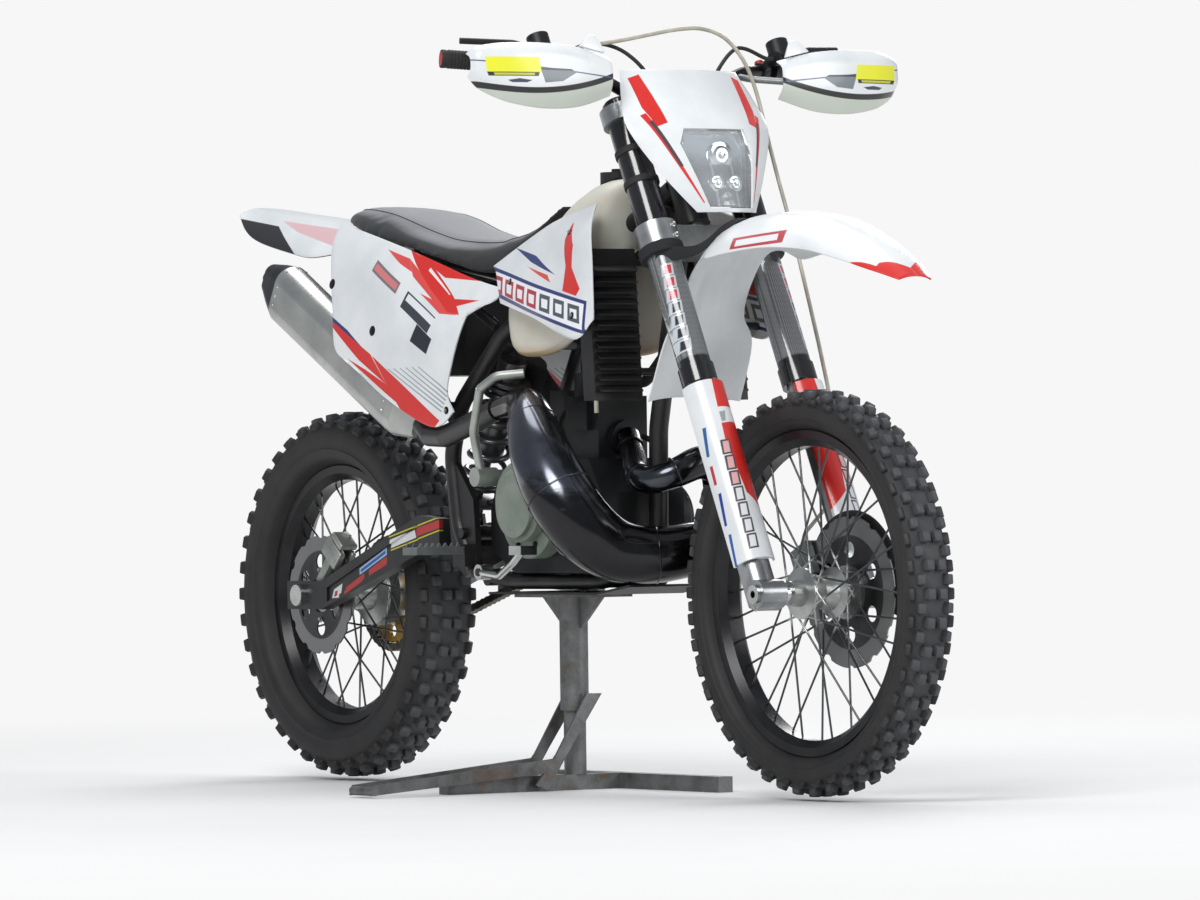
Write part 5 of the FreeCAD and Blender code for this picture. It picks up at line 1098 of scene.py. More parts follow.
# %% Exhaust
PIPE = (
    (166, 0, 626, 22), (220, -26, 590, 22), (262, -48, 560, 23), (308, -48, 550, 24),
    (338, -18, 562, 26), (338, 34, 580, 29), (318, 84, 572, 33), (300, 112, 530, 37),
    (304, 108, 478, 41), (322, 70, 440, 44), (330, 16, 428, 47), (306, -52, 420, 51),
    (272, -104, 430, 56), (246, -150, 470, 60), (210, -178, 530, 60), (160, -180, 596, 55),
    (108, -164, 650, 44), (58, -142, 684, 32), (10, -134, 690, 24), (-50, -134, 680, 17),
)
pipe_line = curve_through(PIPE, 7)


def pipe_at(k):
    """The pipe's middle, its direction and its radius at one of its stations."""
    near, spot, far = (Vector(pipe_line[k + j][:3]) for j in (-1, 0, 1))
    return spot, (far - near).normalized(), pipe_line[k][3]


pipe_paint = worn("pipe_steel_dark", tint(34, 34, 37), tint(20, 20, 22), 0.2, cloud=11, grain=240,
                  Metallic=0.9, Coat_Weight=0.5, Coat_Roughness=0.12)
# The upper part of the right side is painted lighter and blue-grey: a painted sky reflection,
# mottled with dust streaks, which are real.
streak_noise = pipe_paint.noise(7.0, 6.0, (1, 1, 2.4), 0.7)
scale = pipe_paint.noise(38.0, 5.0)
sky_sheen_and_dust = pipe_paint.step(pipe_paint.z + streak_noise * 0.22 + pipe_paint.x * 0.16, 0.690, 0.012)
shade = pipe_paint.mix(scale, tint(98, 102, 112), tint(58, 60, 68))
recolour(pipe_paint, sky_sheen_and_dust & pipe_paint.step(0 - pipe_paint.y, 0.05, 0.05), shade)
tail_rust = pipe_paint.step(0.06 - pipe_paint.x + scale * 0.05, 0, 0.03)
recolour(pipe_paint, tail_rust, tint(70, 66, 64))
pipe = bmesh.new()
sweep(pipe, pipe_line, 48)
for k in (28, 62, 76, 98, 112):
    spot, way, radius = pipe_at(k)
    sweep(pipe, [(*(spot + way * 1.8 * t), radius + grow)
                 for t, grow in ((-1, 0.1), (-0.4, 1.3), (0.4, 1.3), (1, 0.1))], 48)
seam = []
for k in range(66, 118, 2):
    spot, way, radius = pipe_at(k)
    out = way.cross(Vector((-0.5, -0.2, 0.8))).normalized()
    out = out if out.y < 0 else -out
    seam.append((*(spot + out * (radius - 0.2)), 1.4))
sweep(pipe, seam, 8)
place("exhaust_body", pipe, pipe_paint, "chassis", "pipe_steel", ("exhaust_pipe",), crease=55)
print("exhaust stations:", len(pipe_line))

# %% [markdown]
# ## The section of a tyre
# A tyre's section runs from its bead on the rim, up a bulging sidewall with a thin rib, to
# a flat crown. Ten points of one half give it, for any radius and width, and the other
# half mirrors them.

# %% Tyre section
TREAD = 13  # height of the blocks in mm


def tyre_outline(radius, width, bead, rim_width):
    """Half the outer line, from the rim to the crown, and the whole closed section."""
    crown = radius - TREAD
    half = width / 2
    flange = bead + 12.4
    seat = rim_width / 2 - 4.7
    tall = crown - flange
    half_line = curve_through([
        (flange, seat), (flange + 0.14 * tall, half * 0.80), (flange + 0.30 * tall, half * 0.92),
        (flange + 0.34 * tall, half * 0.955), (flange + 0.38 * tall, half * 0.93),
        (flange + 0.6 * tall, half * 0.95), (crown - 0.22 * tall, half * 0.90),
        (crown - 0.06 * tall, half * 0.66), (crown, half * 0.34), (crown + 0.6, 0),
    ], 4)
    far_side = [(r, -y) for r, y in reversed(half_line[:-1])]
    return half_line, [(bead + 0.6, seat), *half_line, *far_side, (bead + 0.6, -seat)]


print("tyre section ready")

# %% [markdown]
# ## Tyres
# An off-road tyre is a thick carcass with rows of tall blocks. The carcass is its section
# spun round the axle, and each block is a bevelled box that narrows towards its top. The
# centre rows stand upright, and the outer rows lean over the shoulder. The rubber is dusty
# between the blocks and cleaner on the sidewall.


# %% Tyres
def tyre(name, radius, width, bead, rim_width, axle, pitches, rows, body):
    """A spun carcass and its blocks; each row is a place across, a lean and a size."""
    half = width / 2
    half_line, outline = tyre_outline(radius, width, bead, rim_width)
    centre = Vector(axle) * MM
    shape = bmesh.new()
    corners = [shape.verts.new(centre + Vector((r, y, 0)) * MM) for r, y in outline]
    ring = [shape.edges.new((corners[k - 1], corners[k])) for k in range(len(corners))]
    bmesh.ops.spin(shape, geom=corners + ring, cent=centre, axis=(0, 1, 0),
                   angle=2 * math.pi, steps=120, use_merge=True)
    blocks = []
    for across, lean, long, wide, phase, tallness in rows:
        foot = next(r + (across * half - y) * (s - r) / (z - y if z != y else 1)
                    for (r, y), (s, z) in zip(half_line[::-1], half_line[-2::-1])
                    if y <= across * half + 1e-6 <= z)
        for side in SIDES:
            for k in range(pitches):
                turn = 2 * math.pi * (k + phase) / pitches
                out = Vector((math.cos(turn), 0, math.sin(turn)))
                round_way = Vector((-math.sin(turn), 0, math.cos(turn)))
                tilt = math.radians(lean) * side
                up = out * math.cos(tilt) + Vector((0, math.sin(tilt), 0))
                spot = Vector(axle) + out * foot + Vector((0, across * half * side, 0))
                spin = Matrix((round_way, up.cross(round_way), up)).transposed()
                blocks += block(shape, spot + up * (tallness / 2 - 2.5), spin,
                                (wide, long, tallness + 5), 0.82)
    soften(shape, edges_of(blocks), 1.5, 1)
    paint = worn(name + "_rubber", tint(27, 27, 28), tint(40, 39, 38), 0.62, cloud=16, grain=700,
                 depth=0.0003)
    reach = away_from(paint, axle) + paint.clouds * 0.012
    dusty = paint.step(reach, (radius - TREAD) * MM + 0.004, 0.006)
    recolour(paint, dusty * 0.55, tint(86, 88, 92))
    place(name + "_tread", shape, paint, body, "tyre_rubber", (name,), crease=42)


tyre("front_tyre", 347.4, 87.5, 266.7, 52, FRONT_AXLE, 44, (
    (0.27, 0, 17, 21, 0.0, 12.6), (0.60, 18, 15, 20, 0.5, 11.6), (0.87, 52, 11, 23, 0.0, 9.0),
), "front_wheel")
tyre("rear_tyre", 339.2, 126.5, 228.6, 62, REAR_AXLE, 40, (
    (0.17, 0, 17, 22, 0.0, 12.6), (0.48, 10, 20, 21, 0.5, 12.0), (0.80, 42, 16, 26, 0.0, 9.5),
), "rear_wheel")
print("tyres placed")

# %% [markdown]
# ## Seat foam
# The seat is a foam block under a tight cover. A loft of rounded sections gives the foam,
# and the cover's vinyl carries a painted sky reflection, paler grey, where it faces up.

# %% Seat foam
SEAT = (
    (-662, 1052, 1040, 54), (-590, 1058, 1024, 94), (-472, 1044, 996, 114), (-330, 1008, 970, 120),
    (-239, 990, 948, 118), (-120, 984, 926, 100), (-20, 1006, 980, 80), (50, 1044, 1036, 62),
)
SEAT_ROUND = (
    (1.0, 0.0), (1.0, 0.30), (0.97, 0.62), (0.86, 0.86), (0.66, 0.97), (0.34, 1.0), (0, 1.02),
)
seat_paint = worn("seat_vinyl", tint(33, 34, 37), tint(24, 25, 27), 0.62, cloud=12, grain=1300,
                  depth=0.0004, Sheen_Weight=0.15)
# painted reflection: the faces that point up are painted a pale bluish grey
painted_top_reflection = seat_paint.step(upwards(seat_paint) + seat_paint.clouds * 0.1, 0.86, 0.12)
recolour(seat_paint, painted_top_reflection, tint(112, 114, 118))
seat_line = curve_through(SEAT, 8)
seat_loops = []
for x, top, low, half in seat_line:
    loop = [(x, half * s, low + (top - low - 3) * h) for s, h in SEAT_ROUND]
    loop += [(x, -y, z) for x, y, z in reversed(loop[:-1])]
    seat_loops.append(loop + [(x, half * share, low) for share in (-0.7, 0, 0.7)])
seat_piece = place("seat_cushion", loft(seat_loops), seat_paint, "chassis", "seat_cover",
                   ("seat",), crease=80)
print("seat loops:", len(seat_loops))

# %% [markdown]
# ## Seat cover
# A cloth simulation with light pressure swells the seat against its pinned underside. No
# point may move further than a few millimetres, and a last smoothing evens the cover out.


# %% Seat cover
def settled_mesh(thing):
    """What the modifiers make of a piece, which then loses them."""
    made = bpy.data.meshes.new_from_object(
        thing.evaluated_get(bpy.context.evaluated_depsgraph_get()))
    thing.modifiers.clear()
    return made


def swell(thing, voxel, pressure, cap, frames, held):
    """Remeshes a closed piece and lets pressure fill it out, by no more than the cap."""
    scene = bpy.context.scene
    mesh = thing.data
    remesh = thing.modifiers.new("voxels", "REMESH")
    remesh.mode = "VOXEL"
    remesh.voxel_size = voxel * MM
    remesh.use_smooth_shade = True
    thing.data = settled_mesh(thing)
    rest = [v.co.copy() for v in thing.data.vertices]
    pin = thing.vertex_groups.new(name="pin")
    pin.add([v.index for v in thing.data.vertices if held(v)], 1.0, "REPLACE")
    cloth = thing.modifiers.new("cloth", "CLOTH")
    settings = cloth.settings
    settings.vertex_group_mass = "pin"
    settings.effector_weights.gravity = 0
    settings.use_pressure = True
    settings.uniform_pressure_force = pressure
    settings.tension_stiffness = settings.compression_stiffness = 12
    settings.bending_stiffness = 4
    cloth.point_cache.frame_start = 1
    cloth.point_cache.frame_end = frames
    for frame_number in range(1, frames + 1):
        scene.frame_set(frame_number)
    blown = settled_mesh(thing)
    scene.frame_set(1)
    for v, start in zip(blown.vertices, rest):
        move = v.co - start
        if move.length > cap * MM:
            v.co = start + move.normalized() * cap * MM
    thing.data = blown
    bpy.data.meshes.remove(mesh)
    smooth = bmesh.new()
    smooth.from_mesh(thing.data)
    for _ in range(4):
        bmesh.ops.smooth_vert(smooth, verts=smooth.verts[:], factor=0.5, use_axis_x=True,
                              use_axis_y=True, use_axis_z=True)
    smooth.to_mesh(thing.data)
    smooth.free()
    thing.data.polygons.foreach_set("use_smooth", [True] * len(thing.data.polygons))


def under_seat(v):
    """Whether a point belongs to the seat's underside, which rests on its base."""
    return v.normal.z < -0.5


swell(seat_piece, 6, 4.0, 6, 20, under_seat)
print("seat points:", len(seat_piece.data.vertices))

# %% [markdown]
# ## Seat seams
# The cover is sewn along the edge between its flat top and its sides. Rays towards that
# edge find the finished surface, and a thin raised line runs through the hits.

# %% Seat seams
bpy.context.evaluated_depsgraph_get()  # a ray needs the scene brought up to date
seams = bmesh.new()
for side in SIDES:
    line = []
    for x, top, low, half in seat_line[6:-3]:
        start = Vector((x, side * half * 1.6, top + half * 0.42)) * MM
        aim = Vector((x, side * half * 0.55, top - 8)) * MM
        hit, spot, normal, index = seat_piece.ray_cast(start, (aim - start).normalized())
        if hit:
            line.append((*(spot / MM + normal * 0.2), 1.3))
    sweep(seams, curve_through(line, 2), 8)
place("seat_seams", seams, seat_paint, "chassis", "seat_cover", crease=80)
print("seams placed")

# %% [markdown]
# ## Fuel tank
# A tank is blow-moulded over the frame, so it is a saddle with no hard edges. Seven loops
# of fifteen points, bridged and subdivided, give that, with a tunnel for the frame below.
# The plastic is milky, and fuel stains the lowest part amber.

# %% Tank
TANK = (
    (-62, 918, 890, 812, 112, 868), (-20, 960, 900, 768, 122, 905),
    (38, 1012, 925, 766, 127, 932), (95, 1054, 948, 768, 128, 958),
    (150, 1078, 972, 786, 124, 986), (200, 1084, 986, 830, 112, 1012),
    (238, 1066, 985, 884, 96, 1020),
)
TUNNEL_HALF = 86
tank_loops = []
for x, top, shoulder, low, half, arch in TANK:
    right = [(half - 2, low), (half, (low + shoulder) / 2), (half, shoulder), (half * 0.55, top)]
    tunnel = [(-TUNNEL_HALF, low), (-TUNNEL_HALF, arch - 12), (-TUNNEL_HALF * 0.8, arch)]
    loop = right + [(0, top + 2)] + [(-y, z) for y, z in reversed(right)]
    loop += tunnel + [(-y, z) for y, z in reversed(tunnel)]
    tank_loops.append([(x, y, z) for y, z in loop])
tank_piece = place("tank_shell", loft(tank_loops), tank_skin, "chassis", "tank_plastic",
                   ("fuel_tank",), crease=80)
smoother = tank_piece.modifiers.new("smooth", "SUBSURF")
smoother.levels = smoother.render_levels = 2
print("tank placed")

# %% [markdown]
# ## Handguards
# Each guard is a bowed shield in front of the grip: white above, with a sagging dark band
# and a pale lip below. A blue fold, an oval vent and a yellow label mark its face, and a
# small wing stands on its upper edge towards the middle of the bar.

# %% Handguards
BAR_AHEAD, BAR_HIGH = 205, 1285
# stations: distance ahead of the bar, distance from the middle, rise and half height
GUARD = (
    (158, 452, -20, 20), (172, 441, -24, 36), (184, 412, -29, 47), (192, 380, -33, 53),
    (199, 320, -37, 57), (200, 250, -38, 52), (192, 180, -36, 34),
)
guard_skin = white_skin("handguard_shell", Coat_Weight=0.3, Coat_Roughness=0.1)
height = guard_skin.z - (BAR_HIGH - 37) * MM
reach = guard_skin.axis("a")
line = height - (reach - 0.345) * (reach - 0.345) + 0.026
recolour(guard_skin, guard_skin.step(0 - line, 0.003), tint(190, 197, 186))
recolour(guard_skin, guard_skin.step(0.005 - abs(line), 0), BLACK)
fold = height - reach * 0.10 + 0.030
recolour(guard_skin, guard_skin.step(fold, 0.009) & guard_skin.step(0.0112 - fold, 0),
         tint(70, 78, 110))
for tone, corners in (
    (tint(112, 120, 126), ((335, 1261), (272, 1259), (262, 1253), (290, 1238), (325, 1235))),
    (tint(44, 48, 60), ((335, 1261), (272, 1259), (266, 1256), (334, 1257))),
    (tint(58, 62, 84), ((396, 1239), (374, 1242), (350, 1239), (360, 1235), (388, 1235))),
    (tint(224, 224, 52), ((433, 1279), (336, 1279), (332, 1252), (431, 1252))),
    (tint(40, 42, 36), ((431, 1253), (336, 1253), (338, 1246), (428, 1246))),
    (tint(190, 192, 60), ((420, 1251.5), (345, 1251.5), (346, 1247.5), (418, 1247.5))),
):
    patches(guard_skin, tone, "az", corners)
guards = []
wings = bmesh.new()
for side in SIDES:
    rows = []
    for ahead, y, rise, half in GUARD:
        x, z = BAR_AHEAD + ahead, BAR_HIGH + rise
        rows.append([(x + bow, side * (y - tuck), z + half * share) for bow, tuck, share in (
            (-14, 2, 1), (0, 0, 0.72), (4, 0, 0.2), (3, 0, -0.42), (-10, 2, -1))])
    guards.append(sheet_of(rows, 6, 6, (1, 0, 0)))
    lean = Matrix.Rotation(math.radians(-8), 3, "Y") @ Matrix.Rotation(side * 0.22, 3, "X")
    fin = block(wings, (BAR_AHEAD + 183, side * 214, BAR_HIGH + 22), lean, (9, 52, 26), 0.34)
    soften(wings, edges_of(fin), 1.6)
place("handguard_shells", joined(*guards), guard_skin, "steering", "white_plastic",
      ("handguards",), wall=3, edge=0.8, crease=60)
place("handguard_wings", wings, guard_skin, "steering", "white_plastic", crease=40)
print("handguards placed")

# %% [markdown]
# ## Fork bolts, caps and mask straps
# Bolts hold the clamps and the bar, and pinch the axle. Round caps close the fork tubes, a
# nut closes the steering stem, and rubber straps hold the lamp mask to the tubes.


# %% Fork bolts, caps and straps
def steer(ahead, side, along):
    """A place ahead of, beside and along the steering axis, in mm."""
    return STEER_BASE + STEER_AHEAD * ahead + Vector((0, side, 0)) + STEER_UP * along


FORK_AHEAD, FORK_SIDE = 22, 105
zinc, dark_bolt = finish["zinc_fastener"], finish["black_fastener"]
rubber, plastic = finish["moulded_rubber"], finish["black_plastic"]
front_bolts = bmesh.new()
caps = bmesh.new()
ties = bmesh.new()
for side in SIDES:
    for along in (680, 700, 922, 938):
        bolt(front_bolts, steer(FORK_AHEAD + 37, side * 92, along), STEER_AHEAD, 3.6)
    bolt(front_bolts, steer(-6, side * 36, 945), STEER_UP, 5)
    bolt(front_bolts, (745, side * 136.5, 330), (0, side, 0), 3.4)
    for along, radius, tall, sides, bevel in ((953, 25, 7, 40, 1.6), (959, 12, 6, 6, 0.8),
                                              (964, 5, 4, 16, 0.8)):
        disc(caps, steer(FORK_AHEAD, side * FORK_SIDE, along), STEER_UP, radius, tall, sides,
             bevel=bevel)
    for along in (792, 852):
        disc(ties, steer(FORK_AHEAD, side * FORK_SIDE, along), STEER_UP, 31.5, 12, 40, bevel=1.2)
    stud = steer(FORK_AHEAD + 29, side * FORK_SIDE, 798)
    disc(ties, stud, STEER_AHEAD, 6, 9, 16, bevel=1.0)
disc(caps, steer(0, 0, 944), STEER_UP, 17, 10, 6, bevel=1.5)
disc(caps, steer(0, 0, 952), STEER_UP, 9, 5, 24, bevel=1.0)
anodised = worn("cap_alloy", tint(60, 62, 66), tint(40, 42, 46), 0.3, cloud=20, Metallic=0.85)
place("clamp_bolts", front_bolts, zinc, "steering", "silver_alloy", crease=30)
place("fork_caps", caps, anodised, "steering", "silver_alloy", crease=30)
place("mask_straps", ties, rubber, "steering", "soft_rubber", crease=40)
print("fork fasteners placed")

# %% [markdown]
# ## Wheel and engine bolts
# Rings of bolts hold the discs, the sprocket, the engine's covers and the cylinder head.
# The clutch cover has a round plate with a raised rim.

# %% Wheel and engine bolts
disc_bolts, wheel_bolts, cover_bolts = bmesh.new(), bmesh.new(), bmesh.new()
LEFT, RIGHT, UP = (0, 1, 0), (0, -1, 0), (0, 0, 1)
for shape, centre, half_sizes, way, count, phase, radius in (
    (disc_bolts, (FRONT_AXLE[0], 69.5, FRONT_AXLE[2]), (46, 46), LEFT, 6, 0.5, 4),
    (wheel_bolts, (REAR_AXLE[0], -77.5, REAR_AXLE[2]), (46, 46), RIGHT, 6, 0.5, 4),
    (wheel_bolts, (REAR_AXLE[0], 87, REAR_AXLE[2]), (54, 54), LEFT, 6, 0.5, 4.6),
    (cover_bolts, (22, -124, 507), (79, 72), RIGHT, 9, 0.3, 3.6),
    (cover_bolts, (118, 120, 482), (66, 66), LEFT, 6, 0.5, 3.4),
    (cover_bolts, (100, -3, 792), (44, 40), UP, 6, 0, 4),
):
    bolt_ring(shape, centre, half_sizes, way, count, phase, radius)
place("front_disc_bolts", disc_bolts, zinc, "front_wheel", "brake_steel", crease=30)
place("rear_wheel_bolts", wheel_bolts, zinc, "rear_wheel", "brake_steel", crease=30)
place("engine_bolts", cover_bolts, dark_bolt, "chassis", "silver_alloy", crease=30)
rim = bmesh.new()
disc(rim, (22, -149, 507), RIGHT, 56, 2.2, 48, bevel=1.2)
disc(rim, (22, -150.4, 507), RIGHT, 46, 1.2, 48, top=44)
place("clutch_cover_plate", rim, finish["cover_magnesium"], "chassis", "silver_alloy", crease=30)
print("wheel and engine bolts placed")

# %% [markdown]
# ## Panel screws and fuel overflow
# The panels are held by screws sunk in dark, round recesses. A ray from the side finds the
# panel's surface at each one, so the recess sits flush on the curve. A clear overflow tube
# hangs out of the tank.


# %% Panel screws
def on_skin(name, x, side, z):
    """The place and the outward direction of a skin seen from one side."""
    thing = bpy.data.objects[name]
    start = Vector((x, side * 400, z)) * MM
    hit, spot, normal, index = thing.ray_cast(start, Vector((0, -side, 0)))
    normal = normal if normal.y * side > 0 else -normal
    return spot / MM, normal


recesses = bmesh.new()
screws = bmesh.new()
for side in SIDES:
    for name, x, z, radius in (
        ("side_panel_skins", -564, 918, 9.5), ("side_panel_skins", -401, 828, 9.5),
        ("side_panel_skins", -159, 680, 7), ("shroud_skins", 292, 838, 6.5),
        ("shroud_skins", 232, 985, 6), ("shroud_skins", 30, 905, 6),
    ):
        spot, normal = on_skin(name, x, side, z)
        disc(recesses, spot - normal * 1.5, normal, radius, 1.9, 28, bevel=0.4)
        if radius < 9:
            bolt(screws, spot + normal * 0.5, normal, radius * 0.48, flange=False)
place("panel_recesses", recesses, dark_bolt, "chassis", "black_plastic", crease=40)
place("panel_screws", screws, zinc, "chassis", "silver_alloy", crease=30)
overflow = bmesh.new()
sweep(overflow, curve_through((
    (206, -98, 950, 4), (214, -100, 890, 4), (222, -104, 820, 4), (224, -106, 740, 4),
    (216, -100, 670, 4)), 6), 12)
clear_tube = worn("overflow_tube", tint(206, 204, 186), tint(176, 172, 150), 0.3, cloud=30)
place("overflow_tube", overflow, clear_tube, "chassis", "hose_skin", crease=60)
print("panel screws placed")

# %% [markdown]
# ## Pull strap
# A flat woven strap runs from one fork leg over the mudguard to the other, for pulling the
# bike out of mud. Its middle lies flat on the mudguard and its ends turn upright, where a
# loop holds each of them to its leg.

# %% Pull strap
STRAP = (
    (452, -132, 940, 0), (478, -104, 941, 0), (494, -78, 946, 4), (506, -54, 962, 8),
    (518, -32, 985, 10), (527, -8, 999, 11), (528, 16, 999, 11), (520, 38, 986, 10),
    (508, 58, 964, 8), (494, 82, 946, 4), (478, 106, 941, 0), (452, 132, 940, 0),
)
strap_rows = [[(x - flat * edge, y, z + (12 - flat) * edge) for x, y, z, flat in STRAP]
              for edge in (1, -1)]
webbing = worn("strap_webbing", tint(20, 21, 24), tint(34, 35, 40), 0.8, cloud=30, grain=1800,
               depth=0.0004)
place("pull_strap", sheet_of(strap_rows, 5, 2, (1, 0, 0.2)), webbing, "steering", "soft_rubber",
      wall=1.8, edge=0.5, crease=70)
leg_loops = bmesh.new()
for side in SIDES:
    disc(leg_loops, steer(FORK_AHEAD, side * FORK_SIDE, 652), STEER_UP, 40, 20, 48, bevel=1.5)
place("strap_loops", leg_loops, webbing, "steering", "soft_rubber", crease=50)
print("strap placed")

# %% [markdown]
# ## Grips and bar controls
# The grips are rubber sleeves with raised rings and a flange at the inner end. A tube
# whose radius goes up and down along the bar gives the rings. Red plugs close the bar, and
# each side has a round switch housing, with a red stop button on the left.


# %% Grips and controls
def bar_tip(side):
    """The bar's end on one side, and the way out along the bar there."""
    tip = steer(-33, side * 405, 1070)
    return tip, (tip - steer(40, side * 168, 1015)).normalized()


grips, ends, knobs, switches = (bmesh.new() for _ in range(4))
for side in SIDES:
    tip, out = bar_tip(side)
    start = tip - out * 122
    line = [(0, 22), (1, 25), (4, 25), (5.5, 16.6)]
    for k in range(18):
        ring = 7 + k * 5.9
        line += [(ring, 15.6), (ring + 0.9, 16.5), (ring + 4.4, 16.5), (ring + 5.3, 15.6)]
    line += [(122.5, 16.4), (124.4, 15.6)]
    sweep(grips, [(*(start + out * along), radius) for along, radius in line], 32)
    disc(ends, tip + out * 0.6, out, 12.5, 2.3, 32, bevel=0.6)
    disc(switches, tip - out * 204, out, 15.5, 18, 32, bevel=2)
    spin = Matrix((STEER_AHEAD, STEER_AHEAD.cross(out), out)).transposed()
    body = block(switches, tip - out * 195 + STEER_AHEAD * 13, spin, (20, 16, 16), 0.9)
    soften(switches, edges_of(body), 2.5)
tip, out = bar_tip(1)
disc(knobs, tip - out * 196 + STEER_UP * 10, STEER_UP, 8, 10, 24, bevel=2.4)
red_cap = worn("bar_end_red", tint(196, 40, 36), tint(150, 30, 28), 0.4, cloud=20)
place("ribbed_grips", grips, rubber, "steering", "soft_rubber", ("grips",), crease=30)
place("bar_ends", ends, red_cap, "steering", "soft_rubber", crease=40)
place("stop_button", knobs, red_cap, "steering", "black_plastic", crease=40)
place("switch_housings", switches, plastic, "steering", "black_plastic", crease=40)
print("grips and controls placed")

# %% [markdown]
# ## Rear shock
# A steel damper runs through a coil spring: an eye at each end, a rod, a body with thread
# and lock rings, and a seat below. The spring is one wire swept along a helix, closer
# together at both ends.

# %% Rear shock
SHOCK_LOW = Vector((-306, -24, 482))
SHOCK_TOP = Vector((-152, -24, 792))
shock_way = (SHOCK_TOP - SHOCK_LOW).normalized()
shock_side = Vector((0, 1, 0))
shock_ahead = shock_side.cross(shock_way)
damper = bmesh.new()
for eye in (SHOCK_LOW, SHOCK_TOP):
    disc(damper, eye - shock_side * 12.5, shock_side, 13, 25, 32, bevel=1.5)
# each part: which end it is measured from, how far along, radius, height, sides and bevel
THREADS = tuple((SHOCK_TOP, k * 4 - 60, 26.2, 1.6, 40, 0) for k in range(9))
for end, along, radius, tall, sides, bevel in (
    (SHOCK_LOW, 10, 15, 34, 32, 2), (SHOCK_LOW, 40, 8, 120, 24, 0), (SHOCK_LOW, 40, 42, 8, 48, 2),
    (SHOCK_TOP, -210, 25, 186, 40, 2), (SHOCK_TOP, -69, 41, 8, 48, 1.2),
    (SHOCK_TOP, -81, 41, 8, 48, 1.2), *THREADS,
):
    disc(damper, end + shock_way * along, shock_way, radius, tall, sides, bevel=bevel)
place("shock_damper", damper, finish["shock_steel"], "chassis", "shock_steel",
      ("shock_absorber",), crease=35)
spring_paint = worn("spring_steel", tint(66, 68, 72), tint(42, 44, 48), 0.34, cloud=20,
                    Metallic=0.5, Coat_Weight=0.4)
SPRING_TURNS, PER_TURN = 7, 20
wire = []
for k in range(SPRING_TURNS * PER_TURN + 1):
    turn = 2 * math.pi * k / PER_TURN
    share = k / (SPRING_TURNS * PER_TURN)
    rise = 52 + 208 * (share - 0.028 * math.sin(2 * math.pi * share))
    out = shock_ahead * math.cos(turn) + shock_side * math.sin(turn)
    wire.append((*(SHOCK_LOW + shock_way * rise + out * 35), 5.6))
spring = bmesh.new()
sweep(spring, wire, 12)
place("shock_spring", spring, spring_paint, "chassis", "shock_steel", crease=60)
print("shock placed")

# %% [markdown]
# ## Disc guard and silencer trim
# A black moulded arc shields the front disc. Rivets close the silencer's caps, and a short
# outlet tube ends it.

# %% Disc guard and silencer trim
arc_rows = []
for reach, lift in ((112, 79), (132, 79), (141, 75.5)):
    turns = [math.radians(-18 + k * 21) for k in range(9)]
    arc_rows.append([(FRONT_AXLE[0] + reach * math.cos(turn), lift,
                      FRONT_AXLE[2] + reach * math.sin(turn)) for turn in turns])
place("front_disc_guard", sheet_of(arc_rows, 5, 2, LEFT), plastic, "steering", "black_plastic",
      wall=2, edge=0.5, crease=50)

can_up = Vector((SILENCER_WAY.z, 0, -SILENCER_WAY.x))
rivets = bmesh.new()
for along in (100, 522):
    foot = SILENCER_FRONT + SILENCER_WAY * along
    heads = [(lift, Vector((0, side, 0))) for side in SIDES for lift in (-18, 0, 18)]
    for turn in (50, 90, 130):
        angle = math.radians(turn)
        heads.append((24, can_up * math.sin(angle) + Vector((0, math.cos(angle), 0))))
    for lift, way in heads:
        disc(rivets, foot + can_up * lift + way * 33.4, way, 3.4, 1.8, 16, top=1.8)
place("silencer_rivets", rivets, zinc, "chassis", "silver_alloy", crease=40)
outlet = bmesh.new()
disc(outlet, SILENCER_FRONT + SILENCER_WAY * 578, SILENCER_WAY, 15, 26, 32, bevel=1)
place("silencer_outlet", outlet, dark_bolt, "chassis", "pipe_steel", crease=40)
print("guard and silencer trim placed")

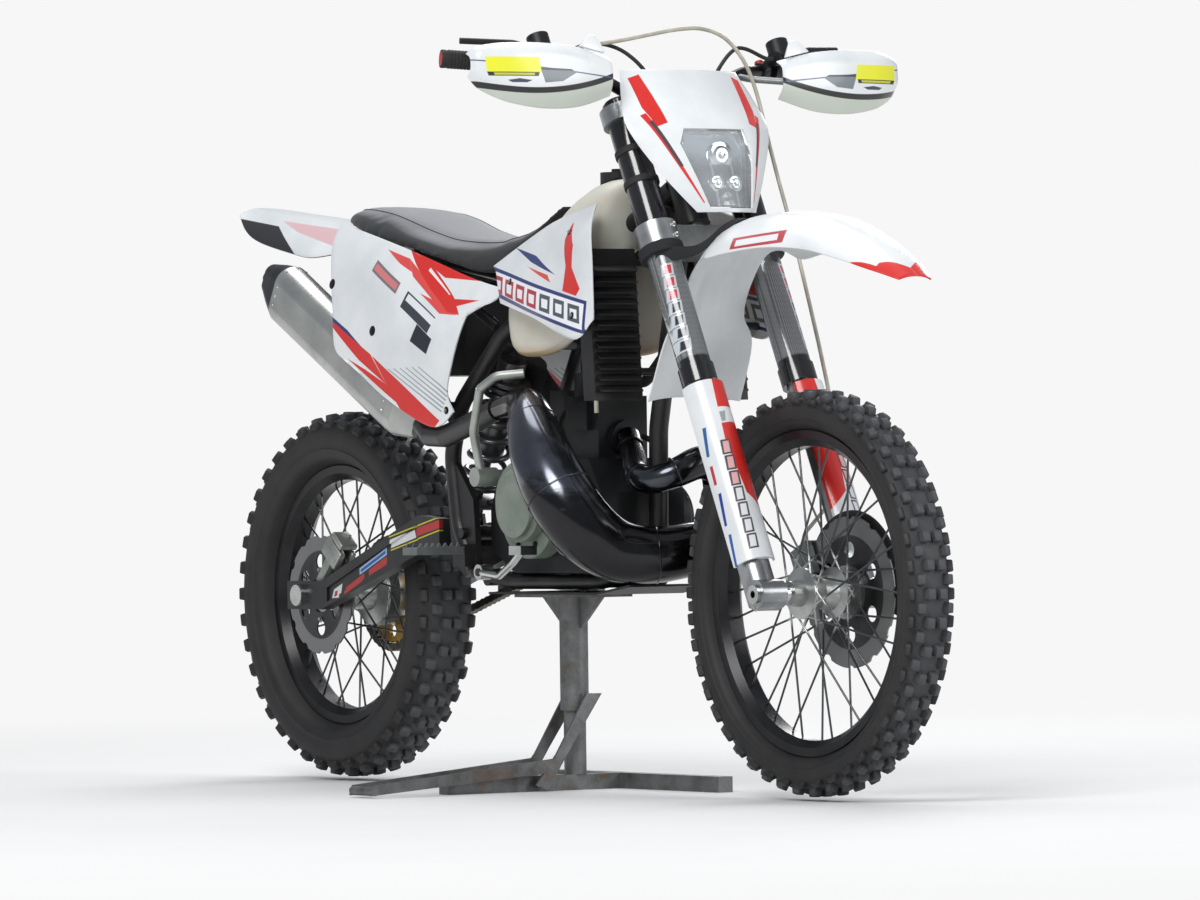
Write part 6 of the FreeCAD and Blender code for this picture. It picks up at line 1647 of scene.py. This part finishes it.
# %% [markdown]
# ## Rear caliper, pipe springs and spark plug
# The rear caliper is cast in rounded blocks on both sides of the disc, with a bleed screw
# on top. Bands clip the pipe, hooked springs hold it to the cylinder, and the plug's lead
# runs to its coil on the frame.

# %% Caliper, springs and plug
GRIP_ANGLE = math.radians(49)
grip_way = Vector((math.cos(GRIP_ANGLE), 0, math.sin(GRIP_ANGLE)))
grip_turn = Matrix((grip_way, Vector(LEFT), grip_way.cross(Vector(LEFT)))).transposed()
caliper = bmesh.new()
for far, y, size, round_by in (
    (103, -90.5, (40, 14, 58), 4.5), (103, -64, (38, 11, 54), 4), (132, -78, (13, 38, 42), 4),
    (60, -91, (62, 8, 20), 2), (103, -96, (16, 5, 44), 1.5),
):
    spot = Vector(REAR_AXLE) + grip_way * far + Vector((0, y, 0))
    soften(caliper, edges_of(block(caliper, spot, grip_turn, size)), round_by, 3)
bleed = Vector(REAR_AXLE) + grip_way * 137 + Vector((0, -70, 0))
disc(caliper, bleed, grip_way, 3.2, 9, 6, top=2.4)
place("rear_caliper_body", caliper, finish["bright_cast"], "chassis", "silver_alloy",
      ("rear_caliper",), crease=40)

clips = bmesh.new()
for k in (4, 16):
    spot, way, radius = pipe_at(k)
    disc(clips, spot - way * 4, way, radius + 2.4, 8, 40, bevel=1)
for side in SIDES:
    turns = [(k, 2 * math.pi * k / 9) for k in range(12 * 9 + 1)]
    sweep(clips, [(178 + k * 0.36, side * 25 + 4.4 * math.cos(turn),
                   628 + 4.4 * math.sin(turn) - k * 0.12, 1.0) for k, turn in turns], 6)
place("pipe_springs", clips, dark_bolt, "chassis", "pipe_steel", crease=50)
plug = bmesh.new()
disc(plug, (101, -3, 792), (0.1, 0, 1), 10, 12, 6, bevel=1)
disc(plug, (102, -3, 803), (0.1, 0, 1), 8, 26, 24, bevel=2)
sweep(plug, curve_through(
    ((104, -3, 826, 4), (100, 6, 848, 4), (78, 30, 866, 4), (40, 52, 866, 4)), 6), 12)
coil = block(plug, (24, 52, 866), Matrix.Identity(3), (44, 24, 30))
soften(plug, edges_of(coil), 3, 3)
place("spark_plug_cap", plug, rubber, "chassis", "soft_rubber", crease=40)
print("trim placed")
